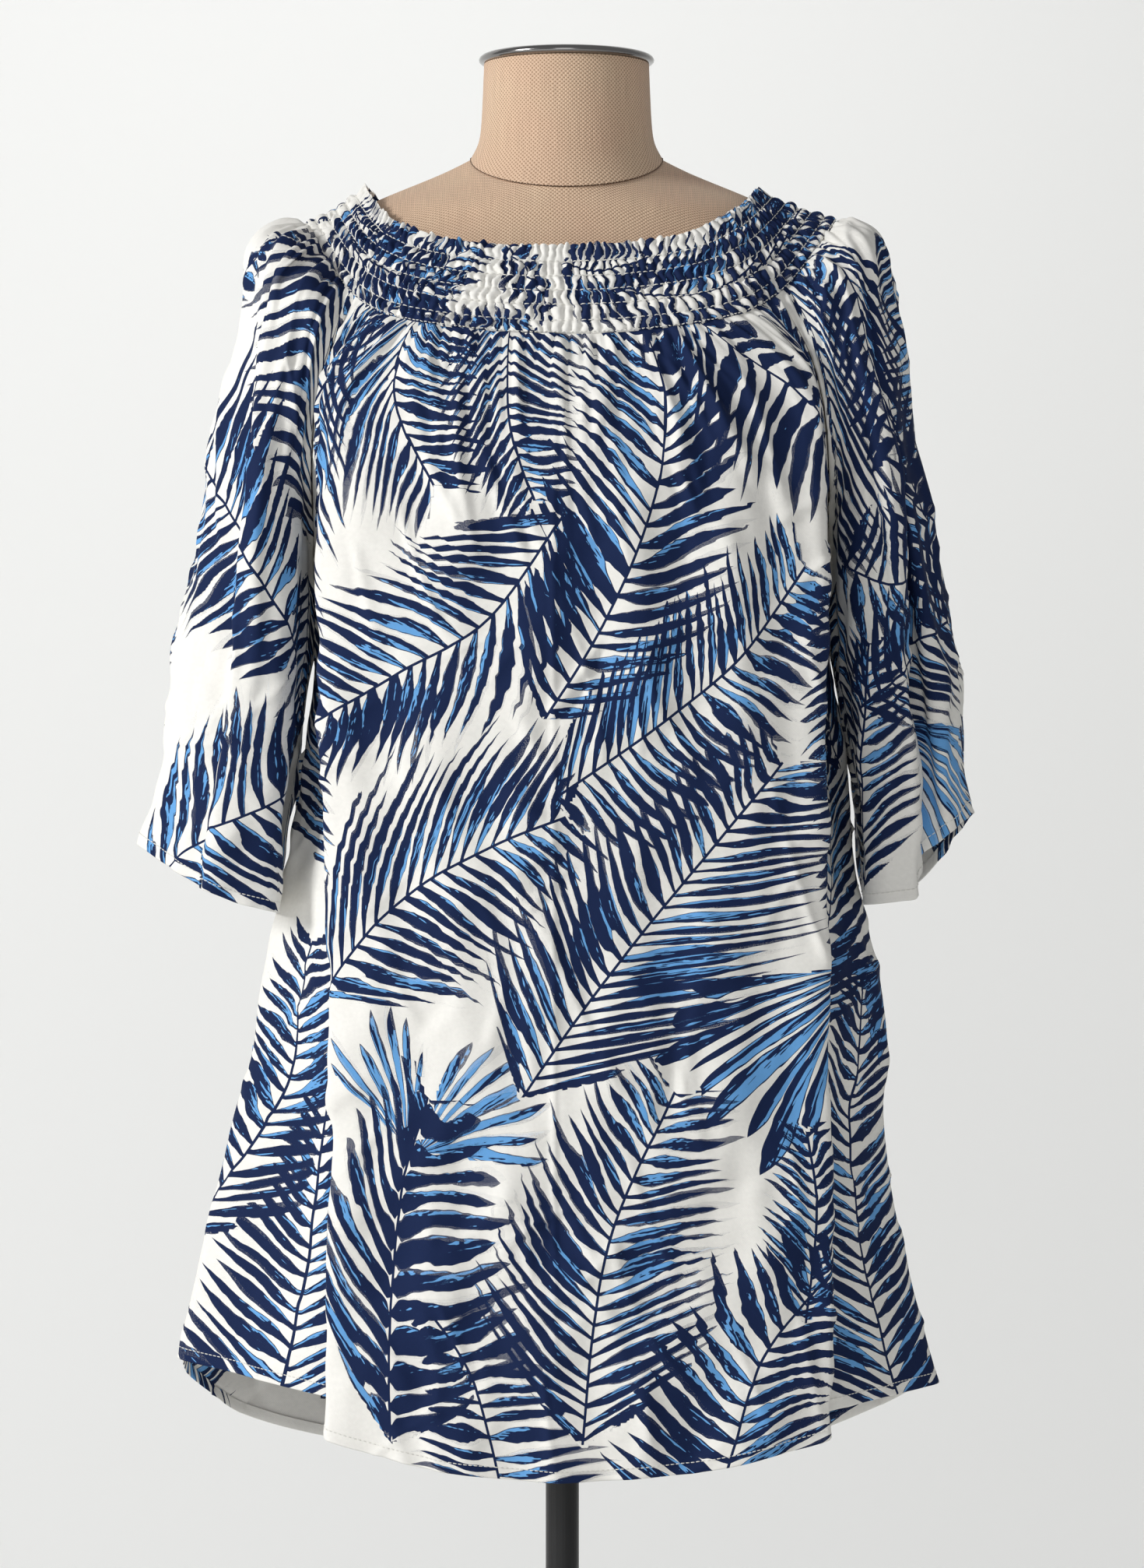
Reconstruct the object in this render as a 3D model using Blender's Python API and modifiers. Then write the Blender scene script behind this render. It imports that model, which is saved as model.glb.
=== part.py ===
"""Smocked boat-neck tunic with gathered three-quarter sleeves, standing on a limbless dress form.

Frame: +X to the right as seen from the front, the front towards -Y, +Z up, origin on the floor under
the neck. Left and right are those seen from the front. All tables are in millimetres.
"""

import math
from collections import namedtuple

import bmesh
import bpy
from mathutils import Vector

MM = 0.001

# Cloth
CLOTH_WALL = 1.6
SEAM_GAP = 0.36

# Smocking: five rows of elastic stitching between the ruffled neck edge and the lower seam, as
# shares of the way down
STITCH_ROWS = (0.20, 0.37, 0.53, 0.69, 0.86)
PUFF_HEIGHT = 3.4
STITCH_HEIGHT = 0.5
RUFFLE_HEIGHT = 2.6
TUCKS = {"front": 26, "shoulder": 13, "back": 24}

# Gathers of the body and the sleeves below the smocking. Steepest is their height over their spacing.
GATHER_HEIGHT = 2.1
GATHER_STEEPEST = 0.3
GATHER_START = 14.0
GATHER_LENGTH = (60.0, 130.0)

# Dress form and stand
NECK_TOP = 1536.8
CAP_RADIUS = 58.0
CAP_THICKNESS = 5.0
POLE_RADIUS = 11.0
POLE_X = -2.8
TORSO_BOTTOM = 850.0
BASE_RADIUS = 195.0
BASE_THICKNESS = 9.0
BOSS_RADIUS = 26.0
BOSS_HEIGHT = 22.0
SEAT_GAP = 0.3
RING_POINTS = 28

# Stations round the smocked yoke, anticlockwise from above. The neck edge and the lower seam pass
# through them, and crown is how far the band bulges between the two.
Station = namedtuple("Station", "neck_x neck_y neck_z seam_x seam_y seam_z crown")
YOKE = {
    "front_centre": Station(-2, -86, 1408, -3, -110, 1349, 2.5),
    "front_right": Station(66, -79, 1414, 88, -102, 1357, 2.5),
    "right_front_corner": Station(106, -53, 1433, 137, -73, 1378, 2.0),
    "right_shoulder": Station(126, 3, 1454, 178, 0, 1433, -2.5),
    "right_back_corner": Station(105, 61, 1440, 139, 82, 1386, 2.0),
    "back_right": Station(61, 85, 1429, 86, 105, 1372, 2.5),
    "back_centre": Station(-2, 93, 1425, -2, 113, 1366, 2.5),
    "back_left": Station(-64, 85, 1429, -88, 105, 1372, 2.5),
    "left_back_corner": Station(-109, 61, 1440, -139, 82, 1385, 2.0),
    "left_shoulder": Station(-132, 3, 1456, -172, 0, 1431, -2.5),
    "left_front_corner": Station(-112, -52, 1428, -137, -73, 1377, 2.0),
    "front_left": Station(-70, -79, 1412, -93, -101, 1357, 2.5),
}
STATION_NAMES = list(YOKE)

# Where front and back meet the sleeves, then each other: four rows of raglan seam, the underarm
# point, and the side seam down to the hem. left and right are distances from the centre plane.
Seam = namedtuple("Seam", "left right y_front y_back z_left z_right back_rise")
SEAMS = [
    Seam(137, 137, -73, 82, 1377, 1378, 8),
    Seam(153, 157, -75, 82, 1340, 1341, 8),
    Seam(163, 167, -70, 78, 1303, 1304, 6),
    Seam(166, 171, -52, 58, 1262, 1262, 3),
    Seam(167, 173, 2, 2, 1214, 1214, 0),
    Seam(166, 173, 2, 2, 1150, 1150, 0),
    Seam(172, 184, 2, 2, 1080, 1080, 0),
    Seam(184, 190, 2, 2, 1005, 1005, 0),
    Seam(200, 206, 2, 2, 930, 930, 0),
    Seam(206, 210, 2, 2, 882, 882, 0),
    Seam(217, 208, 2, 2, 843, 843, 0),
    Seam(229, 214, 2, 2, 788, 788, 0),
    Seam(242, 227, 2, 2, 733, 727, 0),
    Seam(253.5, 243, 2, 2, 683.5, 666.5, 0),
]
UNDERARM_ROW = 4

# Front: the nearly flat panel between its two pressed fold edges, and the tuck behind each edge.
# tuck_in is how far the tuck lies towards the centre from the edge.
Front = namedtuple("Front", "z_centre z_edge y_centre y_edge edge_left edge_right tuck_in tuck_y")
FRONT = [
    Front(1349, 1363, -110, -94, 112, 110, -10, -84),
    Front(1308, 1322, -120, -97, 143, 146, -6, -87),
    Front(1265, 1276, -130, -101, 151, 155, -7, -86),
    Front(1228, 1240, -135, -104, 156, 161, 0, -80),
    Front(1193, 1198, -137, -107, 158, 164, 4, -68),
    Front(1150, 1150, -138, -110, 157.5, 163.5, 5, -72),
    Front(1080, 1080, -138, -112, 155.5, 163.5, 8, -74),
    Front(1005, 1005, -138, -113, 154, 165.3, 8, -76),
    Front(930, 930, -138, -114, 153, 165.7, 8, -78),
    Front(882, 882, -138, -114, 151, 166.5, 8, -78),
    Front(843, 843, -138, -114, 148.5, 167, 9, -76),
    Front(788, 788, -139, -115, 150.5, 168, 8, -80),
    Front(722, 725, -139, -116, 152.5, 169, 7, -82),
    Front(618, 642, -140, -118, 150, 167.5, 5, -86),
]

# Back: plain and rounded, with soft hanging folds further down
Back = namedtuple("Back", "z_centre y_centre")
BACK = [
    Back(1366, 112), Back(1324, 115), Back(1282, 116), Back(1240, 116), Back(1198, 116),
    Back(1150, 116), Back(1080, 117), Back(1005, 119), Back(930, 122), Back(882, 124),
    Back(843, 125), Back(785, 127), Back(712, 129), Back(603, 132),
]

# Sleeves: z_out on the outer fold and z_in at the inner side, distances from the centre plane to the
# inner side, its front corner and the outer fold, the half depth, and the dent of the long front
# fold. Above the underarm the inner side is the raglan seam, so z_in and inner stay unused there.
Sleeve = namedtuple("Sleeve", "z_out z_in inner corner corner_y outer depth dent")
SLEEVES = {
    "left": [
        Sleeve(1431, 1377, 137, 150, -76, 172, 60, 0),
        Sleeve(1419, 1340, 153, 162, -79, 203.5, 72, 0),
        Sleeve(1372, 1303, 163, 171, -79, 213.5, 78, 3),
        Sleeve(1294, 1262, 166, 178, -74, 230.5, 80, 5),
        Sleeve(1198, 1214, 167, 178, -66, 250, 80, 6),
        Sleeve(1150, 1150, 174, 176, -62, 258, 78, 6),
        Sleeve(1092, 1090, 184, 181, -60, 264.6, 75, 6),
        Sleeve(1053, 1040, 192, 185, -57, 271.5, 71, 6),
        Sleeve(1021, 978, 200, 190, -54, 281.7, 67, 5),
    ],
    "right": [
        Sleeve(1433, 1378, 137, 150, -76, 178, 60, 0),
        Sleeve(1421, 1341, 157, 166, -79, 205, 72, 0),
        Sleeve(1374, 1304, 167, 176, -79, 216.5, 78, 4),
        Sleeve(1289, 1262, 171, 184, -74, 230, 80, 11),
        Sleeve(1190, 1214, 173, 186, -66, 249, 80, 20),
        Sleeve(1150, 1150, 181, 185, -62, 255.5, 78, 25),
        Sleeve(1094, 1090, 192, 190, -60, 262, 75, 27),
        Sleeve(1064, 1044, 197, 192, -57, 264, 71, 27),
        Sleeve(1041, 983, 202, 196.5, -54, 268, 67, 24),
    ],
}

# Share of the way from z_in to z_out that each guide point of a sleeve reaches below the underarm,
# from the front corner round the outer fold (1.0) to the back corner
CUFF_LIFT = {
    "left": (0.0, 0.15, 0.32, 0.37, 0.66, 1.0, 0.30, 0.0),
    "right": (0.0, 0.04, 0.10, 0.52, 0.80, 1.0, 0.14, 0.0),
}

# Columns of faces between neighbouring guide points, and rows between neighbouring table rows
FRONT_COLUMNS = [1, 4, 3, 7, 8, 8, 7, 3, 4, 1]
BACK_COLUMNS = [2, 4, 5, 6, 6, 5, 4, 2]
SLEEVE_COLUMNS = [4, 2, 1, 2, 2, 4, 6, 3, 4]
BODY_ROWS = [2, 2, 2, 2, 1, 1, 1, 1, 1, 1, 1, 1, 1]
SLEEVE_ROWS = [2, 2, 2, 2, 1, 1, 1, 1]

# Long soft folds of the back: place across (0 left to 1 right, as seen from behind), depth outwards
# at the hem, and the heights between which each one grows
Fold = namedtuple("Fold", "across width depth top bottom")
BACK_FOLDS = [
    Fold(0.20, 0.06, 9, 1150, 800),
    Fold(0.36, 0.05, -7, 1050, 720),
    Fold(0.52, 0.07, 8, 1180, 760),
    Fold(0.67, 0.05, -7, 1000, 700),
    Fold(0.82, 0.06, 9, 1120, 780),
]

# Rings of the torso, top to bottom. front_drop and back_rise tilt a ring with the neck seam.
Ring = namedtuple("Ring", "z half_width front back front_drop back_rise square")
TORSO = [
    Ring(1474.0, 63.5, 61, 60, 25, 12, 2.0),
    Ring(1464.0, 84.0, 62, 64, 20, 12, 2.0),
    Ring(1449.0, 121.0, 65, 68, 14, 9, 2.0),
    Ring(1438.0, 144.0, 67, 73, 13, 6, 2.0),
    Ring(1425.0, 163.0, 71, 80, 12, 5, 2.0),
    Ring(1411.0, 175.0, 76, 86, 9, 3, 2.0),
    Ring(1392.0, 181.0, 83, 92, 4, 0, 2.0),
    Ring(1355.0, 181.0, 96, 99, 0, 0, 2.05),
    Ring(1310.0, 177.0, 112, 104, 0, 0, 2.1),
    Ring(1255.0, 162.0, 124, 103, 0, 0, 2.2),
    Ring(1215.0, 150.0, 127, 99, 0, 0, 2.2),
    Ring(1150.0, 132.0, 110, 88, 0, 0, 2.2),
    Ring(1075.0, 117.0, 88, 80, 0, 0, 2.2),
    Ring(1005.0, 137.0, 94, 96, 0, 0, 2.2),
    Ring(930.0, 160.0, 98, 108, 0, 0, 2.2),
    Ring(880.0, 163.0, 98, 108, 0, 0, 2.2),
    Ring(TORSO_BOTTOM, 160.0, 96, 106, 0, 0, 2.2),
]
NECK = [
    Ring(NECK_TOP, 54.6, 54, 54, 0, 0, 2.0),
    Ring(1516.0, 55.4, 54.5, 54.5, 4, 3, 2.0),
    Ring(1495.0, 56.6, 55.5, 55, 13, 8, 2.0),
    Ring(1484.0, 58.6, 57, 56.5, 19, 10, 2.0),
    Ring(1474.0 + SEAT_GAP, 63.5, 61, 60, 25, 12, 2.0),
]

# Colours are linear red, green and blue; then roughness and metallic
CLOTH = ((0.34, 0.39, 0.48), 0.75, 0.0)
LINEN = ((0.50, 0.36, 0.24), 0.85, 0.0)
STEEL = ((0.42, 0.42, 0.43), 0.22, 1.0)
BLACK = ((0.012, 0.012, 0.013), 0.38, 0.0)


# ---------------------------------------------------------------- scene


def clear_scene():
    """Remove whatever the file holds."""
    for item in list(bpy.data.objects):
        bpy.data.objects.remove(item, do_unlink=True)


def finish_of(name, finish):
    """Principled material from a colour, a roughness and a metallic value."""
    colour, roughness, metallic = finish
    material = bpy.data.materials.new(name)
    material.use_nodes = True
    shader = material.node_tree.nodes["Principled BSDF"]
    shader.inputs["Base Color"].default_value = (*colour, 1.0)
    shader.inputs["Roughness"].default_value = roughness
    shader.inputs["Metallic"].default_value = metallic
    return material


def add_piece(name, mesh, finish):
    """Object for a mesh, with its own material, in the tunic's collection."""
    piece = bpy.data.objects.new(name, mesh)
    mesh.materials.append(finish_of(name + "_finish", finish))
    bpy.data.collections["tunic_on_dress_form"].objects.link(piece)
    return piece


# ---------------------------------------------------------------- curves and grids


def cardinal(before, start, end, after, part, tension=0.5):
    """Point on a cardinal spline between start and end, part of the way along."""
    leaving = (end - before) * tension
    arriving = (after - start) * tension
    squared = part * part
    cubed = squared * part
    return (
        start * (2 * cubed - 3 * squared + 1)
        + leaving * (cubed - 2 * squared + part)
        + end * (3 * squared - 2 * cubed)
        + arriving * (cubed - squared)
    )


def through(points, steps, tension=0.5):
    """Points along a spline through the given ones, with steps[i] stretches after point i."""
    last = len(points) - 1
    line = []
    for index, count in enumerate(steps):
        before = points[max(index - 1, 0)]
        after = points[min(index + 2, last)]
        for step in range(count):
            line.append(cardinal(before, points[index], points[index + 1], after, step / count, tension))
    line.append(points[last].copy())
    return line


def round_yoke(values, station):
    """Value at a station number, which may fall between two stations, on the closed ring."""
    count = len(values)
    index = math.floor(station)
    near = [values[(index + offset) % count] for offset in (-1, 0, 1, 2)]
    return cardinal(*near, station - index)


def pulled(edge, towards, distance):
    """Points of an edge, moved a little towards the next line of points."""
    return [point + (inner - point).normalized() * distance for point, inner in zip(edge, towards)]


def open_seam(first, first_column, second, second_column, rows):
    """Part two grids along the seam that they share, each by half of the seam's gap.

    Each edge moves away from the other panel, so that two panels which leave their seam side by side
    part as well as two that lie end to end. A column is 0 or -1.
    """
    for row in rows:
        edges = []
        for grid, column in ((first, first_column), (second, second_column)):
            line = grid[row]
            edges.append((line[1] - line[0]) if column == 0 else (line[-2] - line[-1]))
        apart = (edges[0].normalized() - edges[1].normalized()).normalized() * SEAM_GAP / 2
        seam = (first[row][first_column] + second[row][second_column]) / 2
        first[row][first_column] = seam + apart
        second[row][second_column] = seam - apart


def normals_of(grid, closed_from=None):
    """Outward directions at the points of a grid whose rows run down and columns run anticlockwise."""
    last_row = len(grid) - 1
    result = []
    for row_index, row in enumerate(grid):
        above = grid[max(row_index - 1, 0)]
        below = grid[min(row_index + 1, last_row)]
        closed = closed_from is not None and row_index >= closed_from
        last = len(row) - 1
        line = []
        for index in range(last + 1):
            back = index - 1 if index else (last - 1 if closed else 0)
            ahead = index + 1 if index < last else (1 if closed else last)
            across = row[ahead] - row[back]
            down = below[index] - above[index]
            line.append(down.cross(across).normalized())
        result.append(line)
    return result


def share_normals(first, first_column, second, second_column, rows):
    """Give two seam edges one direction at each row, so that their walls meet in a mitre."""
    for row in rows:
        both = (first[row][first_column] + second[row][second_column]).normalized()
        first[row][first_column] = both
        second[row][second_column] = both.copy()


def offset(grid, normals, distance):
    """Grid moved inwards along its normals."""
    return [
        [point - normal * distance for point, normal in zip(row, line)] for row, line in zip(grid, normals)
    ]


# ---------------------------------------------------------------- meshes


def grid_faces(bm, grid, turned):
    """Triangles of one side of a wall. Both sides split a quad along the same diagonal."""
    for above, below in zip(grid, grid[1:]):
        for left in range(len(above) - 1):
            for corners in (
                (above[left], below[left], below[left + 1]),
                (above[left], below[left + 1], above[left + 1]),
            ):
                bm.faces.new(reversed(corners) if turned else corners)


def cloth_piece(name, outer, inner, closed_from=None):
    """Closed wall between an outer and an inner grid. From row closed_from down it is a tube.

    Solidify would end each wall square and make neighbours overlap where a seam turns a corner, so
    the two sides are lofted here, with directions that neighbours share along the seam.
    """
    bm = bmesh.new()
    sides = []
    for grid in (outer, inner):
        rows = []
        for index, row in enumerate(grid):
            closed = closed_from is not None and index >= closed_from
            points = row[:-1] if closed else row
            line = [bm.verts.new(point * MM) for point in points]
            rows.append(line + line[:1] if closed else line)
        sides.append(rows)
    out, into = sides
    grid_faces(bm, out, False)
    grid_faces(bm, into, True)
    for left in range(len(out[0]) - 1):
        bm.faces.new([out[0][left], out[0][left + 1], into[0][left + 1], into[0][left]])
        bm.faces.new([out[-1][left + 1], out[-1][left], into[-1][left], into[-1][left + 1]])
    open_rows = len(out) - 1 if closed_from is None else closed_from
    for column, turned in ((0, False), (-1, True)):
        if len(out) == len(into):
            loops = [
                [out[row + 1][column], out[row][column], into[row][column], into[row + 1][column]]
                for row in range(open_rows)
            ]
        else:
            loops = [[row[column] for row in reversed(out)] + [row[column] for row in into]]
        for loop in loops:
            bm.faces.new(reversed(loop) if turned else loop)
    bmesh.ops.triangulate(bm, faces=[face for face in bm.faces if len(face.verts) > 4])
    bmesh.ops.recalc_face_normals(bm, faces=bm.faces)
    mesh = bpy.data.meshes.new(name)
    bm.to_mesh(mesh)
    bm.free()
    mesh.shade_smooth()
    mesh.set_sharp_from_angle(angle=math.radians(50))
    return add_piece(name, mesh, CLOTH)


# ---------------------------------------------------------------- yoke

NECK_EDGE = [Vector((row.neck_x, row.neck_y, row.neck_z)) for row in YOKE.values()]
LOWER_SEAM = [Vector((row.seam_x, row.seam_y, row.seam_z)) for row in YOKE.values()]
CROWNS = [row.crown for row in YOKE.values()]


def yoke_surface(station, down):
    """Point and outward direction of the plain band, from the neck edge (0) to the seam (1)."""
    neck = round_yoke(NECK_EDGE, station)
    seam = round_yoke(LOWER_SEAM, station)
    step = 0.05
    along = round_yoke(LOWER_SEAM, station + step) - round_yoke(LOWER_SEAM, station - step)
    outward = (seam - neck).cross(along).normalized()
    crown = round_yoke(CROWNS, station)
    return neck.lerp(seam, down) + outward * crown * 4 * down * (1 - down), outward


def band_lines():
    """Lines of points down the band: stitch rows, the middles between them, and both edges."""
    marks = [0.0, *STITCH_ROWS, 1.0]
    lines = [0.0]
    for above, below in zip(marks, marks[1:]):
        lines += [(above + below) / 2, below]
    return lines


def tuck_height(column, line, last_column, down):
    """Height of the smocking over the plain band at one crossing of a tuck and a line of points."""
    if column in (0, last_column) or down == 1.0:
        return 0.0
    uneven = 1 + 0.28 * math.sin(1.9 * column + 2.3 * line)
    ridge = column % 2
    if down < STITCH_ROWS[0]:
        return RUFFLE_HEIGHT * (1 - down / STITCH_ROWS[0]) ** 0.5 * uneven * ridge
    if down in STITCH_ROWS:
        return STITCH_HEIGHT * ridge
    return PUFF_HEIGHT * uneven * (1.0 if ridge else 0.25)


def yoke_piece(name, first, last, tucks):
    """One smocked piece of the yoke between two stations."""
    columns = 2 * tucks
    outer = []
    for line, down in enumerate(band_lines()):
        row = []
        for column in range(columns + 1):
            station = first + (last - first) * column / columns
            point, outward = yoke_surface(station, down)
            row.append(point + outward * tuck_height(column, line, columns, down))
        outer.append(row)
    inner = []
    for down in (0.0, 0.3, 0.6, 1.0):
        row = []
        for column in range(columns + 1):
            station = first + (last - first) * column / columns
            point, outward = yoke_surface(station, down)
            row.append(point - outward * CLOTH_WALL)
        inner.append(row)
    for grid in (outer, inner):
        grid[-1] = pulled(grid[-1], grid[-2], SEAM_GAP / 2)
        for row in grid:
            row[0] += (row[1] - row[0]).normalized() * SEAM_GAP / 2
            row[-1] += (row[-2] - row[-1]).normalized() * SEAM_GAP / 2
    return cloth_piece(name, outer, inner)


# ---------------------------------------------------------------- body and sleeves


def seam_point(row, side, face):
    """Point of the raglan or side seam, for a side (-1 left, 1 right) and a face of the body."""
    seam = SEAMS[row]
    reach = seam.left if side < 0 else seam.right
    height = seam.z_left if side < 0 else seam.z_right
    if face == "front":
        return Vector((side * reach, seam.y_front, height))
    return Vector((side * reach, seam.y_back, height + seam.back_rise))


def half_front(row, side):
    """Guide points of the front from the seam towards the centre."""
    spec = FRONT[row]
    seam = seam_point(row, side, "front")
    edge_x = spec.edge_left if side < 0 else spec.edge_right
    edge = Vector((side * edge_x, spec.y_edge, spec.z_edge))
    tuck = Vector((side * (edge_x - spec.tuck_in), spec.tuck_y, (spec.z_edge + seam.z) / 2))
    beside_seam = seam.lerp(tuck, 0.12)
    beside_seam.x = seam.x - side * 0.6
    if row < UNDERARM_ROW:
        beside_seam = seam.lerp(tuck, 0.4)
    drop = spec.z_edge - spec.z_centre
    bend = spec.y_centre - spec.y_edge
    middle = Vector((side * edge_x * 0.52, spec.y_centre - 0.24 * bend, spec.z_centre + 0.26 * drop))
    return [seam, beside_seam, tuck, edge, middle]


def front_guides(row):
    """Guide points of one row of the front, from left to right."""
    centre = Vector((-2.0, FRONT[row].y_centre, FRONT[row].z_centre))
    return half_front(row, -1) + [centre] + half_front(row, 1)[::-1]


def back_drop(row, side, angle):
    """Share of the height between the back's centre and its seam. Near the hem it drops faster."""
    if row < len(BACK) - 3:
        return math.cos(angle) ** 1.6
    return math.cos(angle) ** 3 if side > 0 else 1 - math.sin(angle) ** 0.85


def back_guides(row):
    """Guide points of one row of the back, from right to left, round a quarter ellipse each side."""
    spec = BACK[row]
    halves = []
    for side in (1, -1):
        seam = seam_point(row, side, "back")
        half = []
        for degrees in (0, 9, 33, 60):
            angle = math.radians(degrees)
            x = seam.x * math.cos(angle) ** 0.8
            y = seam.y + (spec.y_centre - seam.y) * math.sin(angle) ** 0.85
            z = spec.z_centre + (seam.z - spec.z_centre) * back_drop(row, side, angle)
            half.append(Vector((x, y, z)))
        halves.append(half)
    centre = Vector((-2.0, spec.y_centre, spec.z_centre))
    return halves[0] + [centre] + halves[1][::-1]


def sleeve_guides(row, side, name):
    """Guide points of one row of a sleeve, from the front of its inner side round to the back."""
    spec = SLEEVES[name][row]
    if row < UNDERARM_ROW:
        start = seam_point(row, side, "front")
        end = seam_point(row, side, "back")
    else:
        start = Vector((side * spec.inner, 2.0, spec.z_in))
        end = start.copy()
    width = spec.outer - spec.corner

    def at(across, y):
        return Vector((side * (spec.corner + width * across), y, 0.0))

    depth = spec.depth
    points = [
        start,
        at(0.0, spec.corner_y),
        at(0.28, -depth),
        at(0.47, -0.95 * depth),
        at(0.49, -0.88 * depth + spec.dent),
        at(0.76, -0.64 * depth),
        at(1.0, 0.0),
        at(0.5, 0.95 * depth),
        at(0.02, -0.92 * spec.corner_y),
        end,
    ]
    total = sum(SLEEVE_COLUMNS)
    passed = 0
    for point, count, lift in zip(points[1:-1], SLEEVE_COLUMNS, CUFF_LIFT[name]):
        passed += count
        share = passed / total
        if row <= UNDERARM_ROW:
            lift = math.sin(math.pi * min(share / 0.54, 1.0, (1 - share) / 0.46) / 2)
        ends = start.z * (1 - share) + end.z * share
        point.z = ends + (spec.z_out - ends) * lift
    return points


def gather(grid, normals):
    """Raise every second column below the smocking into a gather that fades out further down."""
    shortest, longest = GATHER_LENGTH
    for column in range(1, len(grid[0]) - 1):
        top = grid[0][column]
        length = shortest + (longest - shortest) * abs(math.sin(1.7 * column))
        way = 1 if column % 2 else -1
        for row, line in zip(grid[1:], normals[1:]):
            spacing = (row[column + 1] - row[column - 1]).length / 2
            height = min(GATHER_HEIGHT * (0.7 + 0.3 * math.sin(2.9 * column)), GATHER_STEEPEST * spacing)
            depth = (row[column] - top).length
            fade = min(depth / GATHER_START, 1.0) * max(1 - depth / length, 0.0)
            row[column] += line[column] * way * height * fade


def fold(grid, normals, folds):
    """Push long soft folds out of a grid."""
    last = len(grid[0]) - 1
    for row, line in zip(grid, normals):
        for column in range(1, last):
            for spec in folds:
                grown = (spec.top - row[column].z) / (spec.top - spec.bottom)
                grown = min(max(grown, 0.0), 1.0)
                away = (column / last - spec.across) / spec.width
                row[column] += line[column] * spec.depth * grown * math.exp(-away * away)


def panel_grid(rows, steps, column_steps, first, last, tension=0.4):
    """Grid of a panel that starts on the yoke's seam between two stations, then follows its rows."""
    columns = sum(column_steps)
    lines = [
        [yoke_surface(first + (last - first) * column / columns, 1.0)[0] for column in range(columns + 1)]
    ]
    lines += [through(guides, column_steps, tension) for guides in rows[1:]]
    by_column = [through([line[column] for line in lines], steps) for column in range(columns + 1)]
    return [list(row) for row in zip(*by_column)]


def seam_directions(normals, first, last):
    """Along the yoke's seam a panel takes the band's own directions."""
    columns = len(normals[0]) - 1
    normals[0] = [
        yoke_surface(first + (last - first) * column / columns, 1.0)[1] for column in range(columns + 1)
    ]


def build_tunic():
    """Four smocked yoke pieces, the front, the back and the two sleeves."""
    numbers = {name: index for index, name in enumerate(STATION_NAMES)}
    right_front = numbers["right_front_corner"]
    right_back = numbers["right_back_corner"]
    left_back = numbers["left_back_corner"]
    left_front = numbers["left_front_corner"]
    before_start = left_front - len(STATION_NAMES)
    yoke_piece("yoke_front", before_start, right_front, TUCKS["front"])
    yoke_piece("yoke_shoulder_right", right_front, right_back, TUCKS["shoulder"])
    yoke_piece("yoke_back", right_back, left_back, TUCKS["back"])
    yoke_piece("yoke_shoulder_left", left_back, left_front, TUCKS["shoulder"])

    table_rows = range(len(SEAMS))
    front_rows = [front_guides(row) for row in table_rows]
    back_rows = [back_guides(row) for row in table_rows]
    front = panel_grid(front_rows, BODY_ROWS, FRONT_COLUMNS, before_start, right_front, 0.3)
    back = panel_grid(back_rows, BODY_ROWS, BACK_COLUMNS, right_back, left_back)
    sleeve_rows = range(len(SLEEVE_ROWS) + 1)
    right_rows = [sleeve_guides(row, 1, "right") for row in sleeve_rows]
    left_rows = [sleeve_guides(row, -1, "left")[::-1] for row in sleeve_rows]
    right = panel_grid(right_rows, SLEEVE_ROWS, SLEEVE_COLUMNS, right_front, right_back)
    left = panel_grid(left_rows, SLEEVE_ROWS, SLEEVE_COLUMNS[::-1], left_back, left_front)

    tube_row = sum(SLEEVE_ROWS[:UNDERARM_ROW])
    normals = {
        "front": normals_of(front),
        "back": normals_of(back),
        "right": normals_of(right, tube_row),
        "left": normals_of(left, tube_row),
    }
    side_rows = range(tube_row, len(front))
    share_normals(normals["front"], 0, normals["back"], -1, side_rows)
    share_normals(normals["front"], -1, normals["back"], 0, side_rows)
    raglan_rows = range(tube_row)
    open_seam(front, 0, back, -1, side_rows)
    open_seam(front, -1, back, 0, side_rows)
    open_seam(front, -1, right, 0, raglan_rows)
    open_seam(right, -1, back, 0, raglan_rows)
    open_seam(back, -1, left, 0, raglan_rows)
    open_seam(left, -1, front, 0, raglan_rows)
    for sleeve, side in ((right, 1), (left, -1)):
        for column in (0, -1):
            sleeve[tube_row][column].x += side * SEAM_GAP
    seam_directions(normals["front"], before_start, right_front)
    seam_directions(normals["right"], right_front, right_back)
    seam_directions(normals["back"], right_back, left_back)
    seam_directions(normals["left"], left_back, left_front)

    fold(back, normals["back"], BACK_FOLDS)
    pieces = (
        ("front_panel", front, normals["front"], None),
        ("back_panel", back, normals["back"], None),
        ("sleeve_right", right, normals["right"], tube_row),
        ("sleeve_left", left, normals["left"], tube_row),
    )
    for name, grid, directions, closed_from in pieces:
        gather(grid, directions)
        inner = offset(grid, directions, CLOTH_WALL)
        for side in (grid, inner):
            side[0] = pulled(side[0], side[1], SEAM_GAP / 2)
        cloth_piece(name, grid, inner, closed_from)


# ---------------------------------------------------------------- dress form


def ring_points(ring):
    """Points of one tilted ring, anticlockwise from the right."""
    points = []
    for index in range(RING_POINTS):
        angle = 2 * math.pi * index / RING_POINTS
        across = math.cos(angle)
        deep = math.sin(angle)
        x = ring.half_width * math.copysign(abs(across) ** (2 / ring.square), across)
        reach = ring.back if deep > 0 else ring.front
        tilt = ring.back_rise if deep > 0 else ring.front_drop
        y = reach * math.copysign(abs(deep) ** (2 / ring.square), deep)
        points.append(Vector((x, y, ring.z + tilt * deep)))
    return points


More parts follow.
